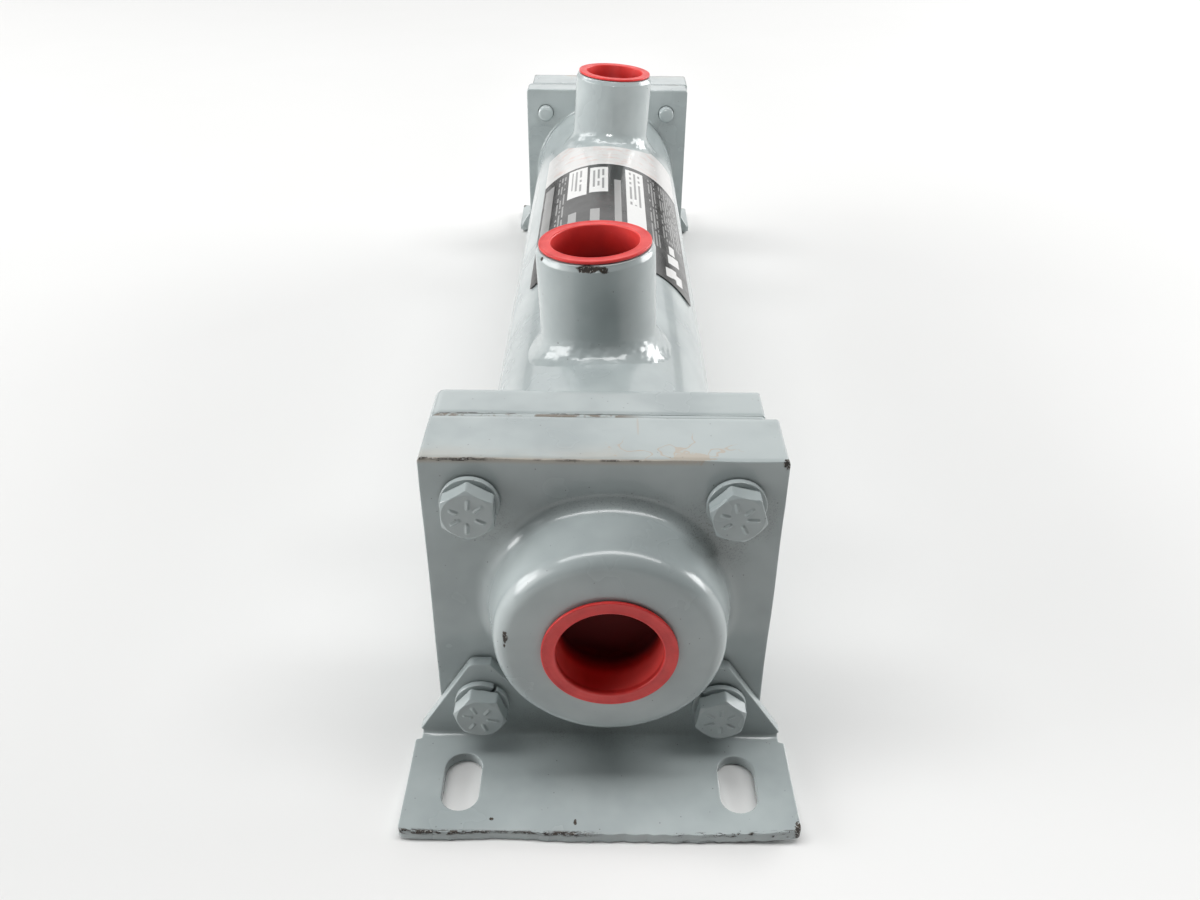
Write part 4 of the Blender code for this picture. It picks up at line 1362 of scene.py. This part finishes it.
def make_bracket(word, material):
    """The foot bracket: a flat pattern with two ears and two slots, bent up along one line.

    v runs from the foot's front edge to the ears' tops. Up to the bend a point lies on the foot;
    over the bend it turns about the bend's centre by arc length over radius; past it it climbs
    the flange. One front corner is bent up by the square of its share of the way to that corner.
    """
    sizes = bpy.context.scene.cooler_bracket
    name = word + "_foot_bracket"
    low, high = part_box(name)
    end, axis = outward(word), AXIS[2]
    half = (high.x - low.x) / 2
    plate, bend = sizes.plate, sizes.bend
    reach = (high.y if end > 0 else -low.y) - abs(flange_face(word))
    front = GAP + plate
    turn_r = bend + plate / 2
    v_bend = reach - front - bend
    v_up = v_bend + math.pi / 2 * turn_r

    def v_of(height):
        """The v of a point on the upright part at a height over the floor."""
        return v_up + height - plate - bend

    top = v_of(axis - sizes.ear_top)
    slant = v_bend + turn_r * math.acos(1 - (axis - sizes.ear_low - plate / 2) / turn_r)
    drop = math.degrees(math.asin(sizes.ear_top / sizes.arch))
    arch = bow((MM if end < 0 else 0.0, v_of(axis)), sizes.arch, -drop, drop - 180, 56)
    flat_left, flat_right = (35.2 * MM, 34.2 * MM) if end < 0 else (35 * MM, 35 * MM)
    relief = reach - sizes.relief_out
    waist = half - sizes.relief_in
    right = [
        (half, 0), (half, relief), (waist, relief + 0.3 * MM), (waist - 0.1 * MM, slant - 0.9 * MM),
        (sizes.ear_half, slant),
    ]
    left = [(-flat_left, top)] + [(-x, v) for x, v in right[::-1]]
    rounds = [2.0, 0.6, 0.5, 0.4, 0.5, 1.5]
    radii = np.array([*rounds, 0, 0, *rounds[:0:-1], 1.6]) * MM
    corners = fillet_corners(right + [(flat_right, top), tuple(arch[0]), tuple(arch[-1])] + left, radii)
    split = int(np.argmin(np.linalg.norm(corners - arch[0], axis=1)))
    outer = evenly(np.vstack([corners[:split], arch, corners[split + 2:]]), 1.5 * MM)
    slots = [
        slot_outline(x, reach - sizes.slot_out, sizes.slot_width, sizes.slot_length)
        for x in (-sizes.slot_half, sizes.slot_half)
    ]
    bolts = [middle(node) for node in bolt_nodes(word) if "lower" in node]
    holes = [circle((-end * x, v_of(z)), BOLT_HOLE, 36, True) for x, _, z in bolts]

    def place(flat):
        """Bends the flat pattern, lifts its front corners and frays its front edge with ripples."""
        u, v, w = flat.T
        turn = np.clip((v - v_bend) / turn_r, 0, math.pi / 2)
        out = front + bend - (turn_r - w) * np.sin(turn) + np.maximum(v_bend - v, 0)
        up = plate + bend - (turn_r - w) * np.cos(turn) + np.maximum(v - v_up, 0)
        to_right = np.clip((u - 22 * MM) / (half - 22 * MM), 0, 1)
        to_left = np.clip((-u - 38 * MM) / (half - 38 * MM), 0, 1)
        ahead = np.clip((out - 12 * MM) / (reach - 12 * MM), 0, 1)
        up = up + sizes.lift * (to_right**2.2 * ahead**1.3 + 0.35 * to_left**2 * ahead**2)
        wavy = 0.10 * MM * ripple(np.stack([u, out, 0 * u], -1), 34 * MM, 90)
        nicks = 0.12 * MM * ripple(np.stack([u, 0 * u, 0 * u], -1), 3.2 * MM, 93)
        fringe = np.clip(1 - v / (1.5 * MM), 0, 1)
        return from_end(word, np.stack([u, up - axis, out + fringe * (nicks + 2 * wavy)], -1))

    bracket = sheet(name, [outer] + slots + holes, plate, 0.25 * MM, (2.4 * MM, 2.4 * MM), place)
    return finish_piece(bracket, name, "blue_grey_paint", material)


def bracket_wear(word):
    """Masks for a bracket's wear, in millimetres; across is to the right, seen from outside that end."""
    low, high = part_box(word + "_foot_bracket")
    end = outward(word)
    tip = high.y if end > 0 else low.y
    face = flange_face(word)

    def on_foot(across, behind, up):
        """A place so far behind the foot's front edge and over the floor."""
        return (-end * across * MM, tip - end * behind * MM, up * MM)

    def in_bend(across, up):
        """A place so far over the floor, in the bend."""
        return (-end * across * MM, face + end * 6 * MM, up * MM)

    def chips(make):
        """Worn paint along the front edge's two ends, a chip at the lifted corner, and four specks."""
        x, y, z = make.split(make.mm)
        across = make.math("MULTIPLY", x, -end)
        at_tip = make.band(y, tip / MM, 1.2, 0.3)
        grain = make.noise(1.3, 5, 0.75, make.squashed((0.55, 1.4, 1.4)))
        left = make.times(make.fade(grain, 0.44, 0.50), make.fade(across, 2, -7))
        right = make.times(make.fade(grain, 0.55, 0.6), make.fade(across, 17, 22))
        below = make.times(make.fade(z, 1.2, 0.5), make.fade(grain, 0.52, 0.57), make.fade(across, 15, 24))
        return make.most(
            make.times(at_tip, make.most(make.times(make.fade(z, 1.9, 2.7), make.most(left, right)), below)),
            make.blot(on_foot(51.0, 0.8, 3.6), (1.5, 3.2, 2.4), 0.8, 0.8),
            make.blot(on_foot(-27.8, 4.2, 3.2), (0.55, 0.5, 1), 0.6, 0.7),
            make.blot(on_foot(-6.2, 3.4, 3.2), (0.4, 0.9, 1), 0.6, 0.7),
            make.blot(in_bend(14.0, 6.0), (1.3, 1.0, 0.9), 0.6, 0.8),
            make.blot(in_bend(5.8, 5.4), (0.6, 0.6, 0.6), 0.6, 0.8),
        )

    def dust(make):
        """Darker, with dark specks, in the bend under the boss."""
        bend = (2 * MM, face + end * 5 * MM, 9 * MM)
        return make.times(make.blot(bend, (46, 9, 9), 0.35, 6.0, 0.7), 0.7)

    return {"chips": chips, "dust": dust, "edge": (low, high)}


# ---------------------------------------------------------------- tube bundle

def make_tube(node, material):
    """A drawn tube, its wall turned over round ends.

    It swells by a hair where it is rolled into the tube sheets, as the root of the way left to its end.
    """
    low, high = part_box(node)
    radius, wall, soft = (high.z - low.z) / 2, 0.76 * MM, 0.25 * MM
    along = np.linspace(low.y + soft, high.y - soft, 24)
    from_tip = np.minimum(along - low.y, high.y - along)
    swell = 0.12 * MM * np.clip(1 - from_tip / (14 * MM), 0, 1) ** 0.5
    outside = np.column_stack([radius + swell, along])
    inside_wall = np.column_stack([radius - wall + swell, along])[::-1]
    profile = np.vstack([
        outside, [(radius - soft / 2, high.y), (radius - wall + soft, high.y)],
        inside_wall, [(radius - wall + soft, low.y), (radius - soft / 2, low.y)],
    ])
    rings = lengthwise(profile, 32, np.array([(low.x + high.x) / 2, 0, (low.z + high.z) / 2]))
    return finish_piece(skin(node, rings, sharp=50), node, "copper_tube", material)


def tube_circles(margin, keep=lambda x, z: True, mirror=1.0):
    """Clockwise circles round the tubes, about the shell's axis, a margin wider than the tubes."""
    tubes = nodes_named("tube_")
    radius = extent(tubes[0])[2] / 2 + margin
    places = [(middle(tube) - AXIS) * (mirror, 1, 1) for tube in tubes]
    return [circle((x, z), radius, 30, True) for x, _, z in places if keep(x, z)]


def make_tube_sheet(word, material):
    """A round sheet at one end, holed for every tube."""
    name = word + "_tube_sheet"
    low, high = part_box(name)
    outer = circle((0, 0), (high.z - low.z) / 2, 128)
    holes = tube_circles(0.22 * MM, mirror=-outward(word))
    place = partial(on_flange, word, name)
    piece = sheet(name, [outer] + holes, high.y - low.y, 0.25 * MM, (2.6 * MM, 2.6 * MM), place)
    return finish_piece(piece, name, "brass_sheet", material)


def make_baffle(node, material):
    """A disc with one side cut straight off, holed for the tubes that pass through it."""
    low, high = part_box(node)
    radius = (high.x - low.x) / 2
    up, down = high.z - AXIS[2], low.z - AXIS[2]
    side = 1 if abs(down) > abs(up) else -1
    chord = min(abs(up), abs(down))
    start = math.degrees(math.asin(chord / radius))
    arc = bow((0, 0), radius, 180 - start, 360 + start, 110)
    outer = evenly((arc * (1, side))[::side], 2.5 * MM)
    holes = tube_circles(GAP, lambda x, z: side * z < chord)

    def place(flat):
        """Stands the disc upright across the shell, its middle plane in the middle of its node."""
        return np.stack([flat[:, 0] + AXIS[0], (low.y + high.y) / 2 + flat[:, 2], flat[:, 1] + AXIS[2]], -1)

    piece = sheet(node, [outer] + holes, high.y - low.y, 0.15 * MM, (2.6 * MM, 2.6 * MM), place, 0.2 * MM)
    return finish_piece(piece, node, "baffle_steel", material)


# ---------------------------------------------------------------- label

# Blocks of print lie between two angles round the shell from its top, in degrees, and two
# distances from the front flange face, in millimetres. A slanted bar has only the nearer distance.
LABEL_INK_END = 255.5
WHITE_BLOCKS = [(-26, -12.5, 216, 253), (-10.7, 1.7, 217.5, 251), (13.8, 26.6, 157, 251)]
GREY_BLOCKS = [(-24, -18.5, 181, 197), (-9.5, -3.5, 181, 197), (5.9, 10.3, 180, 234), (-46, -38, 170, 247)]
SLANTED_BARS = [(38, 43, 148), (42, 47, 150), (46, 52, 148), (41, 46, 163), (45, 51, 165), (43, 48, 174)]
NOTES = [(-23.5, -15, 222, 250), (-9, 0.2, 222, 248), (15.5, 25, 206, 248)]
PRINT = [(29.5, 36, 172, 251), (38.5, 57.5, 186, 251), (-35, -27.5, 172, 250)]


def label_print():
    """The label's print: black, plain white and grey blocks, and lines of bars where small print would be."""
    tints = bpy.context.scene.cooler_colours
    make = Finish("label_print")
    start = (AXIS[0] / MM, flange_face("front") / MM, AXIS[2] / MM)
    x, y, z = make.split(make.vector("SUBTRACT", make.mm, start))
    angle = make.math("MULTIPLY", make.math("ARCTAN2", x, z), 180 / math.pi)

    def lies(value, low, high):
        """1 where a value lies between two limits, which is where it is near enough to their middle."""
        return make.math("COMPARE", value, (low + high) / 2, (high - low) / 2)

    def blocks(zones):
        """1 inside any of the zones."""
        return make.most(*[make.times(lies(angle, a, b), lies(y, c, d)) for a, b, c, d in zones])

    def small_print(pitch, reach, chance, zones):
        """Rows a pitch of degrees apart, cut into pieces reach millimetres long, some left out."""
        steps = make.math("MULTIPLY", angle, 1 / pitch)
        row = make.math("FLOOR", steps)
        cell = make.math("FLOOR", make.math("MULTIPLY_ADD", row, 3.7, make.math("MULTIPLY", y, 1 / reach)))
        pair = make.add("ShaderNodeCombineXYZ")
        make.put(row, pair.inputs[0])
        make.put(cell, pair.inputs[1])
        luck = make.add("ShaderNodeTexWhiteNoise", noise_dimensions="2D")
        make.put(pair.outputs[0], luck.inputs["Vector"])
        inked = make.math("COMPARE", make.math("FRACT", steps), 0.5, 0.24)
        kept = make.math("LESS_THAN", luck.outputs["Value"], chance)
        return make.times(inked, kept, blocks(zones))

    def slanted(low, high, near):
        """A bar that lies askew: its near edge moves 0.35 mm along for each degree round."""
        slant = 0.35
        from_near = make.math("SUBTRACT", y, near - slant * (low + high) / 2)
        along = make.math("MULTIPLY_ADD", angle, -slant, from_near)
        return make.times(lies(angle, low, high), make.math("COMPARE", along, 4.5, 4.2))

    white = make.most(blocks(WHITE_BLOCKS), *[slanted(*bar) for bar in SLANTED_BARS])
    bars = make.times(small_print(2.3, 2.6, 0.78, PRINT), 0.7)
    note = make.times(small_print(3.1, 3.2, 0.66, NOTES), 0.8)
    scuffs = make.fade(make.noise(1.4, 5, 0.75, make.squashed((1, 0.3, 1))), 0.60, 0.72)
    base = make.mix(make.times(scuffs, 0.25), tuple(tints.ink), (0.10, 0.10, 0.10))
    base = make.mix(make.most(bars, make.times(blocks(GREY_BLOCKS), 0.8)), base, tuple(tints.grey))
    base = make.mix(white, base, tuple(tints.blank))
    base = make.mix(note, base, (0.14, 0.14, 0.14))
    # Past the ink the label is plain light paper, with a pinkish tint within 40 degrees of the top.
    pinkish = make.fade(make.noise(6, 4, 0.6, make.squashed((1, 1.8, 1))), 0.5, 0.68)
    pink_tint = make.times(pinkish, make.math("COMPARE", angle, 0.0, 40.0), 0.7)
    paper = make.mix(pink_tint, (0.60, 0.595, 0.585), (0.60, 0.45, 0.41))
    base = make.mix(make.math("GREATER_THAN", y, LABEL_INK_END), base, paper)
    roughness = make.math("MULTIPLY_ADD", scuffs, 0.15, make.fade(make.noise(10, 2), 0.3, 0.8, 0.16, 0.26))
    sag = make.bump(make.noise(9, 2), 0.12 * MM)
    grain = make.bump(make.noise(0.7, 2), 0.010 * MM, sag)
    return make.done(base, roughness, grain, Specular_IOR_Level=0.4)


def make_label(material):
    """A thin sheet wrapped on the shell, its rear end notched round the weld.

    u over the radius is the angle from the shell's top, and v runs along the shell.
    """
    low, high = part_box("name_label")
    reach = high.z - AXIS[2]
    thick, clear = 0.2 * MM, 24.2 * MM
    left, right = (math.asin((x - AXIS[0]) / reach) * reach for x in (low.x, high.x))
    front, back = low.y, high.y
    foot, lean = port_axis("rear")
    bite = bow((lean * reach, foot[1]), clear, 180, 360, 72)
    bite = bite[bite[:, 1] < back - 0.5 * MM]
    outer = np.vstack([
        fillet_corners([(left, back), (left, front), (right, front), (right, back)], [1.5 * MM] * 4, 6),
        [(bite[-1, 0], back)], bite[::-1], [(bite[0, 0], back)],
    ])

    def place(flat):
        """Rolls the sheet round the shell's axis."""
        radius = reach - thick / 2 + flat[:, 2]
        angle = flat[:, 0] / reach
        return np.stack([AXIS[0] + radius * np.sin(angle), flat[:, 1], AXIS[2] + radius * np.cos(angle)], -1)

    label = sheet("name_label", [evenly(outer, 1.6 * MM)], thick, 0.06 * MM, (1.1 * MM, 4 * MM), place)
    return finish_piece(label, "name_label", "label_black", material)


# ---------------------------------------------------------------- operators

class COOLER_OT_bonnets(bpy.types.Operator):
    """Cast bonnets, front and rear"""
    bl_idname = "cooler.bonnets"
    bl_label = "Bonnets"

    def execute(self, context):
        for word, peel in zip(ENDS, (0.014, 0.006)):
            make_bonnet(word, enamel(f"enamel_{word}_bonnet", lumps=0.2, peel=peel, **bonnet_wear(word)))
        return {"FINISHED"}


class COOLER_OT_hubs(bpy.types.Operator):
    """Hubs brazed on the shell, front and rear"""
    bl_idname = "cooler.hubs"
    bl_label = "Hubs"

    def execute(self, context):
        for word in ENDS:
            make_hub(word, enamel(f"enamel_{word}_hub", lumps=0.3, peel=0.006, **hub_wear(word)))
        return {"FINISHED"}


class COOLER_OT_gaskets(bpy.types.Operator):
    """Fibre gaskets between bonnets and hubs"""
    bl_idname = "cooler.gaskets"
    bl_label = "Gaskets"

    def execute(self, context):
        for word in ENDS:
            make_gasket(word, gasket_fibre(word))
        return {"FINISHED"}


class COOLER_OT_shell(bpy.types.Operator):
    """Shell tube with its two openings"""
    bl_idname = "cooler.shell"
    bl_label = "Shell"

    def execute(self, context):
        make_shell(enamel("enamel_shell", lumps=0.3, peel=0.003))
        return {"FINISHED"}


class COOLER_OT_couplings(bpy.types.Operator):
    """Oil couplings with their welds"""
    bl_idname = "cooler.couplings"
    bl_label = "Oil couplings"

    def execute(self, context):
        for word in ENDS:
            make_coupling(word, enamel(f"enamel_{word}_coupling", peel=0.006, **coupling_wear(word)))
        return {"FINISHED"}


class COOLER_OT_plugs(bpy.types.Operator):
    """Red plugs in the water and oil ports"""
    bl_idname = "cooler.plugs"
    bl_label = "Port plugs"

    def execute(self, context):
        red = red_plastic()
        for seed, word in enumerate(ENDS):
            # Each pair is cup_depth at the mouth and at the floor. The oil plugs' pair starts deeper, so
            # their cups carry less painted highlight and more painted shade.
            make_plug(word + "_water_plug", partial(from_water_mouth, word), red, seed + 0.4, (0.0, 1.0))
            make_plug(word + "_oil_plug", partial(from_oil_mouth, word), red, seed + 2.1, (0.52, 0.76))
        return {"FINISHED"}


class COOLER_OT_bolts(bpy.types.Operator):
    """Hexagon bolts of both bonnets"""
    bl_idname = "cooler.bolts"
    bl_label = "Bolts"

    def execute(self, context):
        paint = enamel("enamel_bolts", lumps=0.5)
        for word in ENDS:
            for index, node in enumerate(bolt_nodes(word)):
                make_bolt(word, node, index, paint)
        return {"FINISHED"}


class COOLER_OT_washers(bpy.types.Operator):
    """Spring lock washers under the bolt heads"""
    bl_idname = "cooler.washers"
    bl_label = "Lock washers"

    def execute(self, context):
        paint = enamel("enamel_washers", lumps=0.4)
        for word in ENDS:
            for index, node in enumerate(bolt_nodes(word)):
                make_washer(word, node, index, paint)
        return {"FINISHED"}


class COOLER_OT_brackets(bpy.types.Operator):
    """Bent foot brackets"""
    bl_idname = "cooler.brackets"
    bl_label = "Foot brackets"

    def execute(self, context):
        for word in ENDS:
            make_bracket(word, enamel(f"enamel_{word}_bracket", **bracket_wear(word)))
        return {"FINISHED"}


class COOLER_OT_tubes(bpy.types.Operator):
    """Copper tubes of the bundle"""
    bl_idname = "cooler.tubes"
    bl_label = "Tubes"

    def execute(self, context):
        copper = drawn_metal("drawn_copper", (0.72, 0.36, 0.22), (0.45, 0.20, 0.13), 1, 0.22)
        for node in nodes_named("tube_"):
            make_tube(node, copper)
        return {"FINISHED"}


class COOLER_OT_tube_sheets(bpy.types.Operator):
    """Brass sheets that hold the tubes' ends"""
    bl_idname = "cooler.tube_sheets"
    bl_label = "Tube sheets"

    def execute(self, context):
        brass = machined_metal("faced_brass", (0.72, 0.55, 0.26), (0.50, 0.36, 0.17), 0.24)
        for word in ENDS:
            make_tube_sheet(word, brass)
        return {"FINISHED"}


class COOLER_OT_baffles(bpy.types.Operator):
    """Steel baffles along the bundle"""
    bl_idname = "cooler.baffles"
    bl_label = "Baffles"

    def execute(self, context):
        steel = machined_metal("punched_steel", (0.50, 0.51, 0.52), (0.33, 0.33, 0.34), 0.30)
        for node in nodes_named("baffle"):
            make_baffle(node, steel)
        return {"FINISHED"}


class COOLER_OT_label(bpy.types.Operator):
    """Printed label wrapped on the shell"""
    bl_idname = "cooler.label"
    bl_label = "Label"

    def execute(self, context):
        make_label(label_print())
        return {"FINISHED"}


class COOLER_OT_stage(bpy.types.Operator):
    """Floor, soft lights and camera"""
    bl_idname = "cooler.stage"
    bl_label = "Stage"

    def execute(self, context):
        sizes = context.scene.cooler_stage
        make_floor()
        make_lights(sizes)
        make_room(sizes)
        make_camera(sizes)
        return {"FINISHED"}


def make_floor():
    """A wide level sheet just under the feet, pale and nearly matt."""
    reach, low = 3.2, -0.1 * MM
    mesh = bpy.data.meshes.new("floor")
    corners = [(x * reach, y * reach, low) for x, y in ((-1, -1), (1, -1), (1, 1), (-1, 1))]
    mesh.from_pydata(corners, [], [(0, 1, 2, 3)])
    floor = linked("floor", mesh)
    make = Finish("pale_floor")
    tone = make.mix(make.noise(180, 2), (0.765, 0.765, 0.755), (0.79, 0.79, 0.785))
    roughness = make.fade(make.noise(60, 2), 0.2, 0.8, 0.65, 0.75)
    mesh.materials.append(make.done(tone, roughness, Specular_IOR_Level=0.2))


def lamp(name, data, place, target):
    """Puts a light at a place and turns it to face a target."""
    made = linked(name, data)
    made.location = place
    made.rotation_euler = (Vector(target) - Vector(place)).to_track_quat("-Z", "Y").to_euler()


def area_light(name, place, size, power):
    """A rectangular light that faces the cooler's middle."""
    data = bpy.data.lights.new(name, "AREA")
    data.shape, data.size, data.size_y = "RECTANGLE", *size
    data.energy = power
    lamp(name, data, place, (0, 0, 0.05))


def make_lights(sizes):
    """A narrow light overhead, a wall of light behind, low ones at the sides, and a spot on the rear end."""
    area_light("overhead", (0, 0, 2.8), (5.0, 0.7), sizes.key)
    area_light("behind", (0, 4.0, 1.6), (6.0, 2.4), sizes.back)
    area_light("left", (-2.4, 0.2, 0.7), (2.0, 1.0), 1.15 * sizes.fill)
    area_light("right", (2.3, 1.1, 0.7), (2.0, 1.0), 1.7 * sizes.fill)
    area_light("front_left", (-2.8, -0.9, 1.0), (2.0, 1.6), 0.75 * sizes.fill)
    spot = bpy.data.lights.new("rear_spot", "SPOT")
    spot.energy, spot.spot_size, spot.spot_blend = sizes.spot, math.radians(8), 0.7
    spot.shadow_soft_size = 0.03
    lamp("rear_spot", spot, (0, -1.0, 0.47), (0, 0.18, 0.085))


def make_room(sizes):
    """A dim room that looks like a pale backdrop where the camera sees past the floor."""
    world = bpy.data.worlds.new("room")
    bpy.context.scene.world = world
    world.use_nodes = True
    tree = world.node_tree
    background = tree.nodes["Background"]
    background.inputs["Color"].default_value = (1.0, 0.995, 0.985, 1.0)
    seen = tree.nodes.new("ShaderNodeLightPath").outputs["Is Camera Ray"]
    strength = tree.nodes.new("ShaderNodeMapRange")
    strength.inputs["To Min"].default_value = sizes.sky
    strength.inputs["To Max"].default_value = sizes.backdrop
    tree.links.new(seen, strength.inputs["Value"])
    tree.links.new(strength.outputs[0], background.inputs["Strength"])
    bpy.context.scene.view_settings.view_transform = "Standard"


def make_camera(sizes):
    """The camera looks along y, turned by its yaw, lowered by its pitch and rolled about its own axis."""
    data = bpy.data.cameras.new("camera")
    data.sensor_width, data.lens = 36.0, sizes.lens
    data.clip_start, data.clip_end = 0.01, 50
    camera = linked("camera", data)
    turn = (
        Matrix.Rotation(-sizes.yaw, 4, "Z")
        @ Matrix.Rotation(math.radians(90) - sizes.pitch, 4, "X")
        @ Matrix.Rotation(sizes.roll, 4, "Z")
    )
    camera.matrix_world = Matrix.Translation(sizes.eye) @ turn
    bpy.context.scene.camera = camera


MAKERS = (
    COOLER_OT_bonnets, COOLER_OT_hubs, COOLER_OT_gaskets, COOLER_OT_shell, COOLER_OT_couplings,
    COOLER_OT_plugs, COOLER_OT_bolts, COOLER_OT_washers, COOLER_OT_brackets, COOLER_OT_tubes,
    COOLER_OT_tube_sheets, COOLER_OT_baffles, COOLER_OT_label, COOLER_OT_stage,
)
GROUPS = {
    "cooler_bonnet": CoolerBonnet, "cooler_ports": CoolerPorts, "cooler_bolts": CoolerBolts,
    "cooler_bracket": CoolerBracket, "cooler_colours": CoolerColours, "cooler_stage": CoolerStage,
}


class COOLER_PT_pieces(bpy.types.Panel):
    """Buttons for every group of pieces, and their sizes and colours"""
    bl_idname = "COOLER_PT_pieces"
    bl_label = "Oil cooler"
    bl_space_type = "VIEW_3D"
    bl_region_type = "UI"
    bl_category = "Cooler"

    def draw(self, context):
        for maker in MAKERS:
            self.layout.operator(maker.bl_idname)
        for name, group in GROUPS.items():
            box = self.layout.box()
            for key in group.__annotations__:
                box.prop(getattr(context.scene, name), key)


def register():
    """Registers the classes and hangs each group of properties on the scene."""
    for kind in (*GROUPS.values(), *MAKERS, COOLER_PT_pieces):
        bpy.utils.register_class(kind)
    for name, group in GROUPS.items():
        setattr(bpy.types.Scene, name, PointerProperty(type=group))


def unregister():
    """Undoes what register did, in the other order."""
    for name in GROUPS:
        delattr(bpy.types.Scene, name)
    for kind in reversed((*GROUPS.values(), *MAKERS, COOLER_PT_pieces)):
        bpy.utils.unregister_class(kind)


def main():
    """Makes every piece."""
    register()
    for maker in MAKERS:
        group, action = maker.bl_idname.split(".")
        getattr(getattr(bpy.ops, group), action)()


if __name__ == "__main__":
    main()
